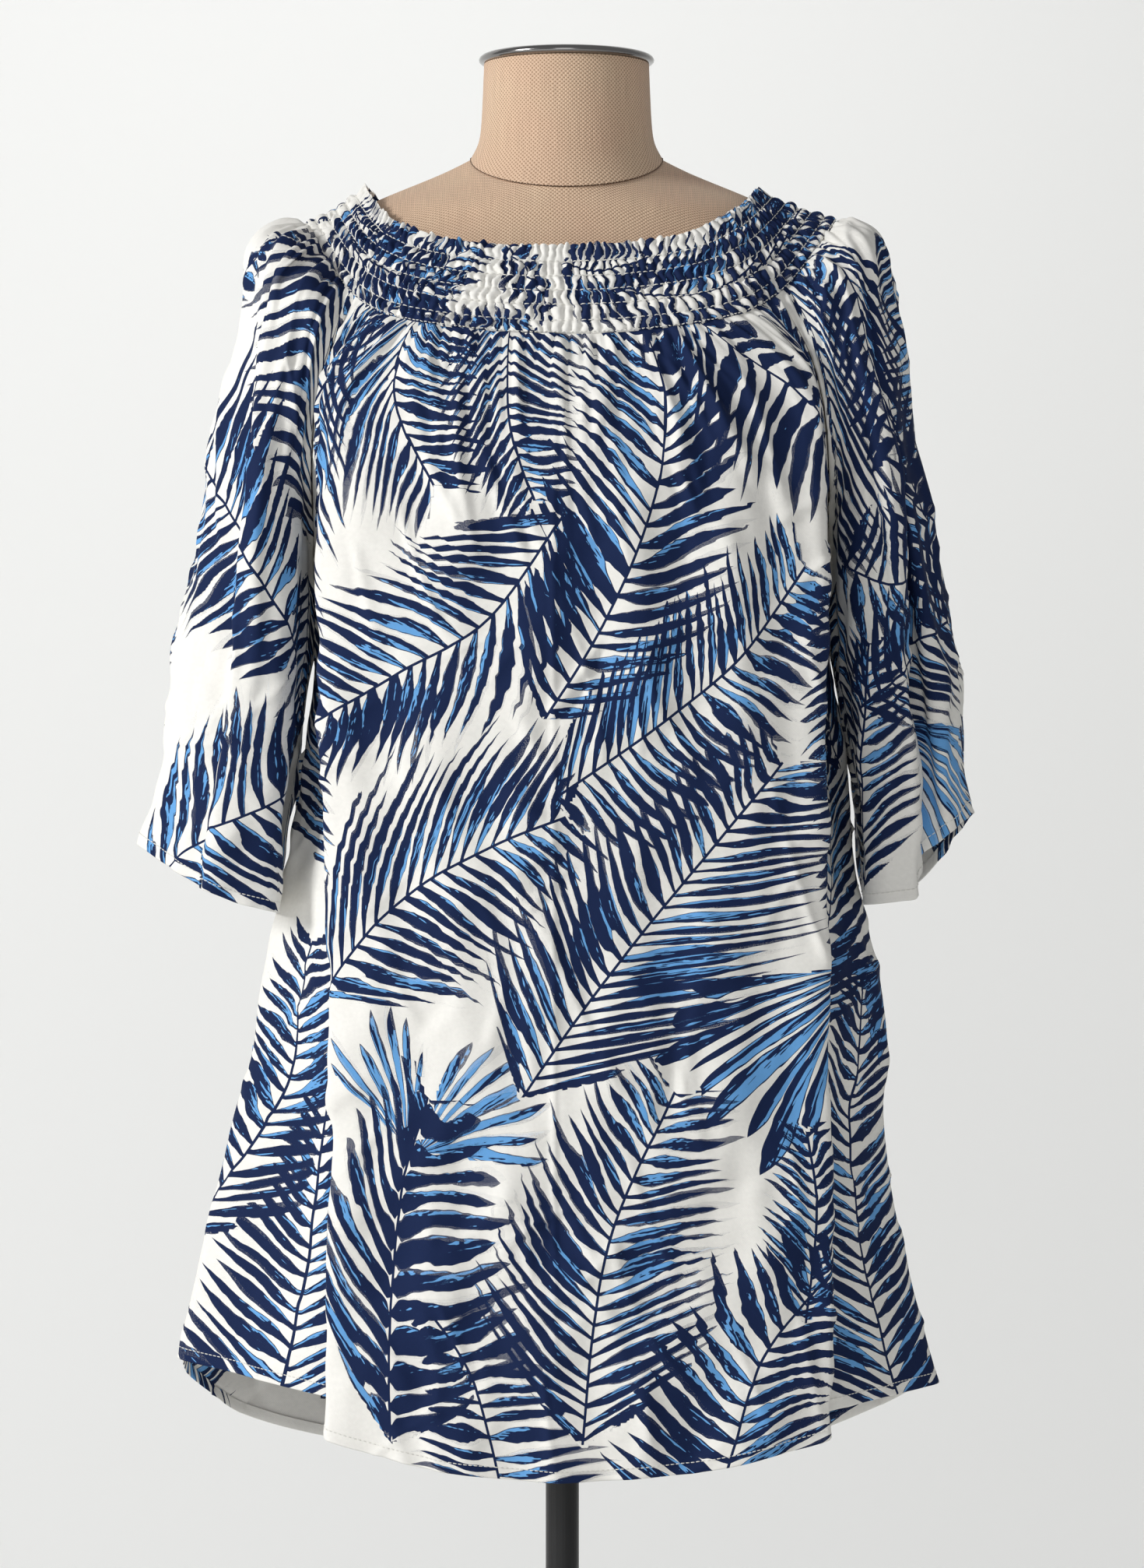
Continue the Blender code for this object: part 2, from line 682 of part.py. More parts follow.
def lofted(name, rings, finish):
    """Solid through a stack of rings, with flat ends."""
    bm = bmesh.new()
    rows = [[bm.verts.new(point * MM) for point in ring_points(ring)] for ring in rings]
    for above, below in zip(rows, rows[1:]):
        for index in range(RING_POINTS):
            ahead = (index + 1) % RING_POINTS
            bm.faces.new([above[index], below[index], below[ahead], above[ahead]])
    bm.faces.new(rows[0])
    bm.faces.new(reversed(rows[-1]))
    bmesh.ops.triangulate(bm, faces=[face for face in bm.faces if len(face.verts) > 4])
    bmesh.ops.recalc_face_normals(bm, faces=bm.faces)
    mesh = bpy.data.meshes.new(name)
    bm.to_mesh(mesh)
    bm.free()
    mesh.shade_smooth()
    mesh.set_sharp_from_angle(angle=math.radians(50))
    return add_piece(name, mesh, finish)


def turned(name, profile, steps, finish):
    """Solid turned from a profile of (radius, height) points, top to bottom."""
    mesh = bpy.data.meshes.new(name)
    points = [(radius * MM, 0.0, height * MM) for radius, height in profile]
    mesh.from_pydata(points, [(index, index + 1) for index in range(len(points) - 1)], [])
    piece = add_piece(name, mesh, finish)
    screw = piece.modifiers.new("turn", "SCREW")
    screw.steps = steps
    screw.render_steps = steps
    screw.use_merge_vertices = True
    screw.merge_threshold = 0.0001
    screw.use_smooth_shade = True
    return piece


def build_form():
    """Linen-covered torso and neck, steel neck cap, pole and round base."""
    lofted("form_torso", TORSO, LINEN)
    lofted("form_neck", NECK, LINEN)
    cap_bottom = NECK_TOP + SEAT_GAP
    cap_top = cap_bottom + CAP_THICKNESS
    cap_profile = [
        (0.0, cap_top + 1.2),
        (CAP_RADIUS - 14, cap_top + 0.8),
        (CAP_RADIUS - 2.2, cap_top),
        (CAP_RADIUS - 0.5, cap_top - 1.0),
        (CAP_RADIUS, cap_top - CAP_THICKNESS / 2),
        (CAP_RADIUS - 0.5, cap_bottom + 1.0),
        (CAP_RADIUS - 2.2, cap_bottom),
        (0.0, cap_bottom),
    ]
    turned("neck_cap", cap_profile, 40, STEEL)
    base_profile = [
        (0.0, BOSS_HEIGHT),
        (BOSS_RADIUS - 3, BOSS_HEIGHT),
        (BOSS_RADIUS, BOSS_HEIGHT - 3),
        (BOSS_RADIUS, BASE_THICKNESS + 2),
        (BASE_RADIUS - 6, BASE_THICKNESS),
        (BASE_RADIUS, BASE_THICKNESS - 4),
        (BASE_RADIUS, 0.0),
        (0.0, 0.0),
    ]
    base = turned("base", base_profile, 48, BLACK)
    base.location.x = POLE_X * MM
    pole_bottom = BOSS_HEIGHT + SEAT_GAP
    pole_top = TORSO_BOTTOM - SEAT_GAP
    bpy.ops.mesh.primitive_cylinder_add(
        vertices=32,
        radius=POLE_RADIUS * MM,
        depth=(pole_top - pole_bottom) * MM,
        location=(POLE_X * MM, 0.0, (pole_top + pole_bottom) / 2 * MM),
    )
    pole = bpy.context.object
    pole.name = "pole"
    pole.data.name = "pole"
    pole.data.shade_smooth()
    pole.data.set_sharp_from_angle(angle=math.radians(50))
    pole.data.materials.append(finish_of("pole_finish", BLACK))
    for holder in list(pole.users_collection):
        holder.objects.unlink(pole)
    bpy.data.collections["tunic_on_dress_form"].objects.link(pole)


def main():
    """Build the tunic and the form that carries it."""
    clear_scene()
    collection = bpy.data.collections.new("tunic_on_dress_form")
    bpy.context.scene.collection.children.link(collection)
    build_tunic()
    build_form()


main()
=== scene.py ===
"""Looks of a smocked boat-neck tunic in palm-printed viscose, worn by a linen dress form on a stand.

Frame: +X to the right as seen from the front, the front towards -Y, +Z up, origin on the floor under
the neck. Left and right are those seen from the front. Tables and sizes are in millimetres.
"""

from __future__ import annotations

import logging
import math
from dataclasses import dataclass, field
from enum import Enum
from functools import partial
from itertools import product
from typing import Any, Iterator, NamedTuple, Sequence

import bmesh
import bpy
import numpy as np
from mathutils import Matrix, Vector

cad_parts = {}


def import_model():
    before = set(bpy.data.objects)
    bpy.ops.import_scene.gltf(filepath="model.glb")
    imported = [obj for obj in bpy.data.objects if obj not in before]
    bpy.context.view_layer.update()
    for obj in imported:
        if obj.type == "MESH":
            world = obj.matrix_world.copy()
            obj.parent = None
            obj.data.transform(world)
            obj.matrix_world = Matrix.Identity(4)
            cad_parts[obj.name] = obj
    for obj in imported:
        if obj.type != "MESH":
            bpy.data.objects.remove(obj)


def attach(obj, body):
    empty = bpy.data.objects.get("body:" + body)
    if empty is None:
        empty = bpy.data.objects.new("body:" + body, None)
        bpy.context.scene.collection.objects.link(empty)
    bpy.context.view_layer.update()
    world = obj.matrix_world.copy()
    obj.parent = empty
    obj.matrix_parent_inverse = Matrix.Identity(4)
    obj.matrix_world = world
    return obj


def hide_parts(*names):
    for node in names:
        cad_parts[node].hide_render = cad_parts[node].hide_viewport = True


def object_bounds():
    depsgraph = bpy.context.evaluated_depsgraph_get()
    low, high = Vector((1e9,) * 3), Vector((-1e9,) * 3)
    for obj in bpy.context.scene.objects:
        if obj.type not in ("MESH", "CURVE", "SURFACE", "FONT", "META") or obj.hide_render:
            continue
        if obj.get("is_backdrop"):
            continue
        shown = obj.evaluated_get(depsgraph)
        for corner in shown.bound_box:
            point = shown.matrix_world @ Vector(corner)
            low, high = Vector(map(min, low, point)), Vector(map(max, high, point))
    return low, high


log = logging.getLogger("tunic")

MM = 0.001
PRINT_LAYERS = 4
MATH = "ShaderNodeMath"
VECTOR_MATH = "ShaderNodeVectorMath"
MAP_RANGE = "ShaderNodeMapRange"
NOISE = "ShaderNodeTexNoise"
MIX = "ShaderNodeMix"
BUMP = "ShaderNodeBump"
SPLIT = "ShaderNodeSeparateXYZ"
JOIN = "ShaderNodeCombineXYZ"
CHOICES = {MATH: "operation", VECTOR_MATH: "operation", MAP_RANGE: "interpolation_type"}
OFF_LEAF = 9.0  # the share of a leaflet's length that stands for bare cloth
LEAF_END = 1.2  # the share that no leaflet passes, as the longest ends at 1.1

Array = np.ndarray
Spot = tuple[float, float, float]


class Side(Enum):
    """Side of the garment, as seen from the front, with the sign of its X."""

    LEFT = -1
    RIGHT = 1


class LeafTip(Enum):
    """How a printed leaflet ends: drawn to a point, or blunt as on a fan palm."""

    POINTED = 0.0
    BLUNT = 1.0


# ---------------------------------------------------------------- numbers


def unit(vectors: Array) -> Array:
    """Vectors of length 1 in the same directions."""
    return vectors / np.maximum(np.linalg.norm(vectors, axis=-1, keepdims=True), 1e-9)


def smooth(value: Array, low: float, high: float) -> Array:
    """Share from 0 at low to 1 at high, with soft ends.

    Args:
        value: the numbers to place between the two limits.
        low: where the share is 0.
        high: where the share is 1.

    Returns:
        An array of the same shape, from 0 to 1.
    """
    share = np.clip((value - low) / (high - low), 0.0, 1.0)
    return share * share * (3.0 - 2.0 * share)


def spline(knots: Array, places: Array, tension: float = 0.5, closed: bool = False) -> Array:
    """Points on a cardinal spline.

    Args:
        knots: the points that it passes, along the first axis.
        places: knot numbers, which may fall between two knots.
        tension: 0 for straight stretches, 0.5 for a full curve.
        closed: whether the last knot leads back to the first.

    Returns:
        One point for each place.
    """
    count = len(knots)
    start = np.floor(places).astype(int)
    if not closed:
        start = np.clip(start, 0, count - 2)
    part = (places - start).reshape((-1,) + (1,) * (knots.ndim - 1))
    near = start[:, None] + np.arange(-1, 3)
    near = near % count if closed else np.clip(near, 0, count - 1)
    before, first, last, after = (knots[near[:, index]] for index in range(4))
    squared = part * part
    cubed = squared * part
    return (
        first * (2 * cubed - 3 * squared + 1)
        + (last - before) * tension * (cubed - 2 * squared + part)
        + last * (3 * squared - 2 * cubed)
        + (after - first) * tension * (cubed - squared)
    )


def run_length(points: Array) -> Array:
    """Distance passed at each of a row of points, from 0 at the first."""
    return np.concatenate([[0.0], np.cumsum(np.linalg.norm(np.diff(points, axis=0), axis=1))])


def beside_line(line: Array, x: Array, y: Array) -> tuple[Array, Array, Array]:
    """Where places lie beside a line of short steps.

    Args:
        line: the line's points.
        x: places across.
        y: places up.

    Returns:
        The distance from the line, the distance passed along it, which runs on past its ends, and the
        distance to the left of it, which is below 0 on its right.
    """
    steps = np.diff(line, axis=0)
    lengths = np.linalg.norm(steps, axis=1)
    last = len(steps) - 1
    nearest = np.full(x.shape, 1e9)
    along, beside = np.zeros(x.shape), np.zeros(x.shape)
    for index, (start, step, length, passed) in enumerate(zip(line, steps, lengths, run_length(line))):
        away_x, away_y = x - start[0], y - start[1]
        part = (away_x * step[0] + away_y * step[1]) / length**2
        foot = np.clip(part, 0.0, 1.0)
        distance = np.hypot(away_x - foot * step[0], away_y - foot * step[1])
        closer = distance < nearest
        kept = np.clip(part, None if index == 0 else 0.0, None if index == last else 1.0)
        nearest = np.where(closer, distance, nearest)
        along = np.where(closer, passed + kept * length, along)
        beside = np.where(closer, (step[0] * away_y - step[1] * away_x) / length, beside)
    return nearest, along, beside


def soft_noise(x: Array, y: Array, size: float, seed: int) -> Array:
    """Smooth unevenness, about -1 to 1, whose bumps are roughly size apart.

    Args:
        x: places across, in the units of size.
        y: places down, in the units of size.
        size: distance between bumps.
        seed: which pattern.

    Returns:
        Heights, one for each place.
    """
    waves, spread = 12, 4.2
    chance = np.random.default_rng(seed)
    total = np.zeros(np.broadcast(x, y).shape)
    for _ in range(waves):
        angle, phase = chance.uniform(0, 2 * math.pi, 2)
        wave = 2 * math.pi / (size * chance.uniform(0.7, 1.5))
        total += np.sin(wave * (x * math.cos(angle) + y * math.sin(angle)) + phase)
    return total / spread


def per_item(index: Array, seed: int) -> Array:
    """An unchanging random number from 0 to 1 for each whole number."""
    value = np.sin(index * 12.9898 + seed * 78.233) * 43758.5453
    return value - np.floor(value)


def places_in_spans(pieces: Sequence[int]) -> Array:
    """Knot numbers that cut span i into pieces[i] equal parts, with the last knot."""
    inner = [start + np.arange(count) / count for start, count in enumerate(pieces)]
    return np.concatenate(inner + [np.array([float(len(pieces))])])


# ---------------------------------------------------------------- colours and nodes


def linear(colour: str) -> tuple[float, float, float, float]:
    """Linear colour for an sRGB value.

    Args:
        colour: the value in hex, such as "#1c3058".

    Returns:
        Red, green, blue and full cover.
    """
    parts = [int(colour[start : start + 2], 16) / 255 for start in (1, 3, 5)]
    red, green, blue = (
        part / 12.92 if part <= 0.04045 else ((part + 0.055) / 1.055) ** 2.4 for part in parts
    )
    return red, green, blue, 1.0


def set_inputs(node: bpy.types.Node, links: dict[int | str, Any]) -> None:
    """Set or link the inputs of a node.

    Args:
        node: the node.
        links: for an input's name or number, a value, the output that feeds it, or a node whose first
            output does.
    """
    for socket, value in links.items():
        if isinstance(value, bpy.types.Node):
            value = value.outputs[0]
        if isinstance(value, bpy.types.NodeSocket):
            node.id_data.links.new(value, node.inputs[socket])
        else:
            node.inputs[socket].default_value = value


def add_node(
    tree: bpy.types.NodeTree, kind: str, links: dict[int | str, Any] | None = None, **settings: Any
) -> bpy.types.Node:
    """Add a node to a tree.

    Args:
        tree: the tree that it goes into.
        kind: the node's type name.
        links: what its inputs are set to or fed by.
        settings: the node's own properties.

    Returns:
        The new node.
    """
    node = tree.nodes.new(kind)
    for name, value in settings.items():
        setattr(node, name, value)
    set_inputs(node, links or {})
    return node


def new_material(name: str) -> tuple[bpy.types.Material, partial, bpy.types.Node]:
    """Empty material with its Principled shader linked to the output.

    Args:
        name: the material's name.

    Returns:
        The material, add_node for its tree, and its shader.
    """
    material = bpy.data.materials.new(name)
    material.use_nodes = True
    material.node_tree.nodes.clear()
    add = partial(add_node, material.node_tree)
    shader = add("ShaderNodeBsdfPrincipled")
    add("ShaderNodeOutputMaterial", {"Surface": shader})
    return material, add, shader


# ---------------------------------------------------------------- finishes

# How a leaflet is drawn. Each row has the names of its results, the kind of node, its choice of operation,
# and its inputs in their order, where a name stands for an earlier result.
LEAFLET_STEPS: tuple[tuple[Any, ...], ...] = (
    ("Place Kind", "NodeGroupInput", None),
    ("number share rib", SPLIT, None, "Place"),
    ("seed blunt blueness", SPLIT, None, "Kind"),
    ("side", MATH, "SIGN", "rib"),
    ("key", MATH, "MULTIPLY_ADD", "side", 17.3, "seed"),
    # unevenness stretched along the leaflets
    ("spot", JOIN, None, "number", "share", "key"),
    ("wobble_place", VECTOR_MATH, "MULTIPLY_ADD", "spot", (0.37, 1.5, 1.0), (0.0, 0.0, 0.0)),
    ("wobble_grain", NOISE, None, "wobble_place", 0.0, 1.0, 0.0),
    ("clump_place", VECTOR_MATH, "MULTIPLY_ADD", "spot", (0.19, 1.4, 1.0), (0.0, 0.0, 40.0)),
    ("clump_grain", NOISE, None, "clump_place", 0.0, 1.0, 0.0),
    ("ragged_place", VECTOR_MATH, "MULTIPLY_ADD", "spot", (3.8, 11.0, 1.0), (0.0, 0.0, 7.0)),
    ("ragged_grain", NOISE, None, "ragged_place", 0.0, 1.0, 0.0),
    ("patch_place", VECTOR_MATH, "MULTIPLY_ADD", "spot", (0.15, 0.9, 1.0), (0.0, 0.0, 23.0)),
    ("patch_grain", NOISE, None, "patch_place", 0.0, 1.0, 0.0),
    ("speck_place", VECTOR_MATH, "MULTIPLY_ADD", "spot", (10.0, 17.0, 1.0), (0.0, 0.0, 3.0)),
    ("speck_grain", NOISE, None, "speck_place", 0.0, 1.0, 0.0),
    ("streak_place", VECTOR_MATH, "MULTIPLY_ADD", "spot", (5.6, 1.6, 1.0), (0.0, 0.0, 11.0)),
    ("streak_grain", NOISE, None, "streak_place", 0.0, 1.0, 1.0),
    # which leaflet this is, how far across it, and three chance numbers for it
    ("wobble", MATH, "MULTIPLY_ADD", "wobble_grain", 1.5, -0.75),
    ("wobbled", MATH, "ADD", "number", "wobble"),
    ("leaflet", MATH, "FLOOR", "wobbled"),
    ("within", MATH, "FRACT", "wobbled"),
    ("across", MATH, "SUBTRACT", "within", 0.5),
    ("named", JOIN, None, "leaflet", "key"),
    ("_ chance", "ShaderNodeTexWhiteNoise", None, "named"),
    ("first second third", "ShaderNodeSeparateColor", None, "chance"),
    # half its width, from a thin stalk through clumps that run together to its tip
    ("reach", MATH, "MULTIPLY_ADD", "first", 0.3, 0.8),
    ("along", MATH, "DIVIDE", "share", "reach"),
    ("sharpness", MATH, "MULTIPLY_ADD", "blunt", 5.0, 3.2),
    ("tip", MATH, "POWER", "along", "sharpness"),
    ("left_over", MATH, "SUBTRACT", 1.0, "tip"),
    ("body", MATH, "MAXIMUM", "left_over", 0.0),
    ("stalk_end", MATH, "MULTIPLY_ADD", "blunt", -0.24, 0.3),
    ("stalk", MAP_RANGE, "SMOOTHSTEP", "along", 0.0, "stalk_end", 0.34, 1.0),
    ("plain", MATH, "MULTIPLY_ADD", "second", 0.13, 0.32),
    ("clump", MAP_RANGE, "SMOOTHSTEP", "clump_grain", 0.61, 0.7, 0.0, 0.22),
    ("clumped", MATH, "ADD", "plain", "clump"),
    ("swell", MAP_RANGE, "SMOOTHSTEP", "along", 0.04, 0.34, 0.1, -0.07),
    ("width", MATH, "MULTIPLY_ADD", "blunt", "swell", "clumped"),
    ("stalked", MATH, "MULTIPLY", "width", "stalk"),
    ("half", MATH, "MULTIPLY", "stalked", "body"),
    # the leaflet itself, which leans a little, and the rib
    ("tilt", MATH, "SUBTRACT", "third", 0.5),
    ("drift", MATH, "MULTIPLY", "along", 0.34),
    ("lean", MATH, "MULTIPLY", "tilt", "drift"),
    ("aside", MATH, "SUBTRACT", "across", "lean"),
    ("away", MATH, "ABSOLUTE", "aside"),
    ("ragged", MATH, "MULTIPLY_ADD", "ragged_grain", 0.36, 0.82),
    ("torn", MATH, "MULTIPLY", "half", "ragged"),
    ("edge", MATH, "SUBTRACT", "torn", "away"),
    ("inside", MATH, "GREATER_THAN", "edge", 0.0),
    ("short", MATH, "LESS_THAN", "along", 1.0),
    ("leaf", MATH, "MULTIPLY", "inside", "short"),
    ("from_rib", MATH, "ABSOLUTE", "rib"),
    ("near_rib", MATH, "LESS_THAN", "from_rib", 0.85),
    ("on_leaf", MATH, "LESS_THAN", "share", 0.5),
    ("line", MATH, "MULTIPLY", "near_rib", "on_leaf"),
    # light blue, dry-brushed in patches, in a band across the leaflets and along one side of each
    ("patch", MAP_RANGE, "SMOOTHSTEP", "patch_grain", 0.47, 0.6, 0.0, 0.17),
    ("centre", MATH, "MULTIPLY_ADD", "blunt", 0.38, 0.12),
    ("middle", MATH, "MULTIPLY_ADD", "third", 0.2, "centre"),
    ("past", MATH, "SUBTRACT", "along", "middle"),
    ("from_middle", MATH, "ABSOLUTE", "past"),
    ("band", MAP_RANGE, "SMOOTHSTEP", "from_middle", 0.1, 0.4, 0.13, 0.0),
    ("one_side", MATH, "MULTIPLY", "aside", 0.55),
    ("speck", MATH, "MULTIPLY_ADD", "speck_grain", 0.34, -0.09),
    ("streak", MATH, "ADD", "speck", "streak_grain"),
    ("placed", MATH, "ADD", "patch", "band"),
    ("wanted", MATH, "MULTIPLY_ADD", "blueness", 0.5, -0.25),
    ("both", MATH, "ADD", "placed", "wanted"),
    ("level", MATH, "ADD", "both", "one_side"),
    ("paint", MATH, "ADD", "streak", "level"),
    ("dry", MATH, "GREATER_THAN", "paint", 0.82),
    ("rimmed", MATH, "GREATER_THAN", "edge", 0.045),
    ("brushed", MATH, "MULTIPLY", "dry", "rimmed"),
    ("lit", MATH, "MULTIPLY", "leaf", "brushed"),
    ("off_line", MATH, "SUBTRACT", 1.0, "line"),
    ("ink", MATH, "MAXIMUM", "leaf", "line"),
    ("blue", MATH, "MULTIPLY", "lit", "off_line"),
)


@dataclass(frozen=True)
class PrintedViscose:
    """Plain-woven viscose with a reactive palm print: matt, crisp, with dry-brushed light blue."""

    ground: str = "#f4f2ec"
    navy: str = "#16264c"
    light_blue: str = "#6ba8e2"
    roughness: float = 0.78
    ior: float = 1.46
    specular: float = 0.18
    thread_spacing: float = 1.1  # the real 0.35 mm is too fine to show, so it is drawn coarser
    weave_depth: float = 0.12  # over the height of the crinkles

    def leaflets(self) -> bpy.types.NodeTree:
        """Node group that draws the leaflets of one leaf from their places along and across it.

        Returns:
            The group. Place holds the leaflet number, the share of its length and the distance from
            the rib in millimetres, and Kind the leaf's seed, its bluntness and its blueness.
        """
        tree = bpy.data.node_groups.new("palm_leaflets", "ShaderNodeTree")
        for socket in ("Place", "Kind"):
            tree.interface.new_socket(socket, in_out="INPUT", socket_type="NodeSocketVector")
        for socket in ("Ink", "Blue"):
            tree.interface.new_socket(socket, in_out="OUTPUT", socket_type="NodeSocketFloat")
        known: dict[str, bpy.types.NodeSocket] = {}
        for names, kind, choice, *values in LEAFLET_STEPS:
            links = {k: known.get(value, value) for k, value in enumerate(values)}
            settings = {CHOICES[kind]: choice} if choice else {}
            known.update(zip(names.split(), add_node(tree, kind, links, **settings).outputs))
        add_node(tree, "NodeGroupOutput", {"Ink": known["ink"], "Blue": known["blue"]})
        return tree

    def build(self) -> bpy.types.Material:
        """Material of the printed cloth, which reads where each leaf lies from the mesh.

        Returns:
            The material.
        """
        material, add, shader = new_material("printed_viscose")
        group = self.leaflets()
        colour = add("ShaderNodeRGB").outputs[0]
        colour.default_value = linear(self.ground)
        white = (1.0, 1.0, 1.0, 1.0)
        for layer in range(PRINT_LAYERS):
            place, kind = (
                add("ShaderNodeAttribute", attribute_name=f"leaf_{layer}_{word}").outputs["Vector"]
                for word in ("place", "kind")
            )
            drawn = add("ShaderNodeGroup", {"Place": place, "Kind": kind}, node_tree=group).outputs
            blues = {0: drawn["Blue"], 6: linear(self.navy), 7: linear(self.light_blue)}
            ink = add(MIX, blues, data_type="RGBA").outputs[2]
            leaf = add(MIX, {0: drawn["Ink"], 6: white, 7: ink}, data_type="RGBA").outputs[2]
            printed = add(MIX, {0: 1.0, 6: colour, 7: leaf}, data_type="RGBA", blend_type="DARKEN")
            colour = printed.outputs[2]
        cloth = add("ShaderNodeAttribute", attribute_name="cloth_mm").outputs["Vector"]
        uneven = add(NOISE, {"Vector": cloth, "Scale": 0.35, "Detail": 3.0})
        washed = add(MAP_RANGE, {0: uneven, 1: 0.3, 2: 0.7, 3: 0.97, 4: 1.02})
        tint = add(VECTOR_MATH, {0: colour, "Scale": washed}, operation="SCALE")
        wave = 2 * math.pi / self.thread_spacing
        threads = add(VECTOR_MATH, {0: cloth, 1: (wave, wave, wave)}, operation="MULTIPLY")
        sines = add(VECTOR_MATH, {0: threads}, operation="SINE")
        across, down, _ = add(SPLIT, {0: sines}).outputs
        weave = add(MATH, {0: across, 1: down}, operation="MULTIPLY")
        crinkle = add(NOISE, {"Vector": cloth, "Scale": 0.16, "Detail": 4.0, "Roughness": 0.6})
        height = add(MATH, {0: weave, 1: self.weave_depth, 2: crinkle}, operation="MULTIPLY_ADD")
        bump = add(BUMP, {"Height": height, "Strength": 0.5, "Distance": 0.6 * MM})
        finish = {"Roughness": self.roughness, "IOR": self.ior, "Specular IOR Level": self.specular}
        set_inputs(shader, {"Base Color": tint, "Normal": bump, **finish})
        return material


@dataclass(frozen=True)
class CoarseLinen:
    """Undyed jute and linen cover, woven with open corners: matt, warm, with painted shade in each pinhole
    and hollow of the weave.
    """

    thread: str = "#ead0b1"
    # colour of the painted shade in each pinhole and hollow of the weave
    shade: str = "#8d6a4b"
    flush: str = "#e3bda2"
    roughness: float = 0.9
    sheen: float = 0.15
    thread_spacing: float = 1.45  # that of a coarse yarn, which just shows

    def build(self) -> bpy.types.Material:
        """Material of the form's cover.

        Returns:
            The material.
        """
        material, add, shader = new_material("coarse_linen")
        cloth = add("ShaderNodeAttribute", attribute_name="cloth_mm").outputs["Vector"]
        drift = add(NOISE, {"Vector": cloth, "Scale": 0.09, "Detail": 1.0}).outputs["Color"]
        shifted = add(VECTOR_MATH, {0: drift, 1: (1.6, 1.6, 0.0), 2: cloth}, operation="MULTIPLY_ADD")
        wave = math.pi / self.thread_spacing
        threads = add(VECTOR_MATH, {0: shifted, 1: (wave, wave * 1.12, 0.0)}, operation="MULTIPLY")
        sines = add(VECTOR_MATH, {0: threads}, operation="SINE")
        across, down, _ = add(SPLIT, {0: sines}).outputs
        weave = add(MATH, {0: across, 1: down}, operation="MULTIPLY")
        # painted shade: darker where the weave's bump is lowest, in each pinhole between the threads
        pinhole_shade = add(MAP_RANGE, {0: weave, 1: -0.95, 2: 0.1, 3: 0.85, 4: 0.0})
        patch = add(NOISE, {"Vector": cloth, "Scale": 0.018, "Detail": 2.0})
        warm = add(MIX, {0: patch, 6: linear(self.thread), 7: linear(self.flush)}, data_type="RGBA")
        slub_place = add(VECTOR_MATH, {0: cloth, 1: (1.1, 0.03, 0.0)}, operation="MULTIPLY")
        slub = add(NOISE, {"Vector": slub_place, "Scale": 1.0, "Detail": 2.0})
        slubbed = add(MAP_RANGE, {0: slub, 1: 0.3, 2: 0.75, 3: 1.04, 4: 0.86})
        yarn = add(VECTOR_MATH, {0: warm.outputs[2], "Scale": slubbed}, operation="SCALE")
        colour = add(MIX, {0: pinhole_shade, 6: yarn, 7: linear(self.shade)}, data_type="RGBA").outputs[2]
        bump = add(BUMP, {"Height": weave, "Strength": 0.6, "Distance": 0.35 * MM})
        finish = {"Roughness": self.roughness, "Sheen Weight": self.sheen}
        set_inputs(shader, {"Base Color": colour, "Normal": bump, **finish})
        return material


@dataclass(frozen=True)
class PolishedSteel:
    """Stainless neck cap, spun and polished: clear reflections with faint turning marks."""

    colour: str = "#8e8c8b"
    roughness: float = 0.12

    def build(self) -> bpy.types.Material:
        """Material of the neck cap.

        Returns:
            The material.
        """
        material, add, shader = new_material("polished_steel")
        place = add("ShaderNodeTexCoord").outputs["Object"]
        marks = {"Vector": place, "Scale": 420.0, "Distortion": 0.6}
        rings = add("ShaderNodeTexWave", marks, wave_type="RINGS", rings_direction="Z").outputs["Fac"]
        limits = {"To Min": self.roughness, "To Max": self.roughness + 0.06}
        worn = add(MAP_RANGE, {"Value": rings, **limits})
        set_inputs(shader, {"Base Color": linear(self.colour), "Metallic": 1.0, "Roughness": worn})
        return material


@dataclass(frozen=True)
class PowderCoatedSteel:
    """Black powder-coated tube and plate: satin, with a very fine orange peel."""

    colour: str = "#141415"
    roughness: float = 0.36

    def build(self) -> bpy.types.Material:
        """Material of the pole and the base.

        Returns:
            The material.
        """
        material, add, shader = new_material("powder_coated_steel")
        place = add("ShaderNodeTexCoord").outputs["Object"]
        peel = add(NOISE, {"Vector": place, "Scale": 900.0, "Detail": 1.0})
        dust = add(NOISE, {"Vector": place, "Scale": 14.0, "Detail": 4.0})
        limits = {"To Min": self.roughness - 0.06, "To Max": self.roughness + 0.1}
        worn = add(MAP_RANGE, {"Value": dust, **limits})
        bump = add(BUMP, {"Height": peel, "Strength": 0.25, "Distance": 0.1 * MM})
        set_inputs(shader, {"Base Color": linear(self.colour), "Roughness": worn, "Normal": bump})
        return material


@dataclass(frozen=True)
class SewingThread:
    """Spun polyester thread, twisted, with a soft gloss: off-white on the tunic."""

    colour: str = "#f4f3ee"
    shade: str = "#dedcd4"
    roughness: float = 0.55

    def build(self) -> bpy.types.Material:
        """Material of the stitches.

        Returns:
            The material.
        """
        material, add, shader = new_material("sewing_thread")
        place = add("ShaderNodeTexCoord").outputs["Object"]
        twist = add(NOISE, {"Vector": place, "Scale": 1500.0, "Detail": 0.0})
        colour = add(MIX, {0: twist, 6: linear(self.colour), 7: linear(self.shade)}, data_type="RGBA")
        set_inputs(shader, {"Base Color": colour.outputs[2], "Roughness": self.roughness})
        return material


@dataclass(frozen=True)
class StudioPaper:
    """Matt paper sweep of a studio, which only shows from its lit side."""

    colour: str = "#f3f3f1"

    def build(self) -> bpy.types.Material:
        """Material of the floor and backdrop.

        Returns:
            The material.
        """
        material, add, shader = new_material("studio_paper")
        set_inputs(shader, {"Base Color": linear(self.colour), "Roughness": 1.0})
        behind = add("ShaderNodeNewGeometry").outputs["Backfacing"]
        clear = add("ShaderNodeBsdfTransparent")
        mixed = add("ShaderNodeMixShader", {0: behind, 1: shader, 2: clear})
        set_inputs(material.node_tree.nodes["Material Output"], {"Surface": mixed})
        return material


# ---------------------------------------------------------------- print


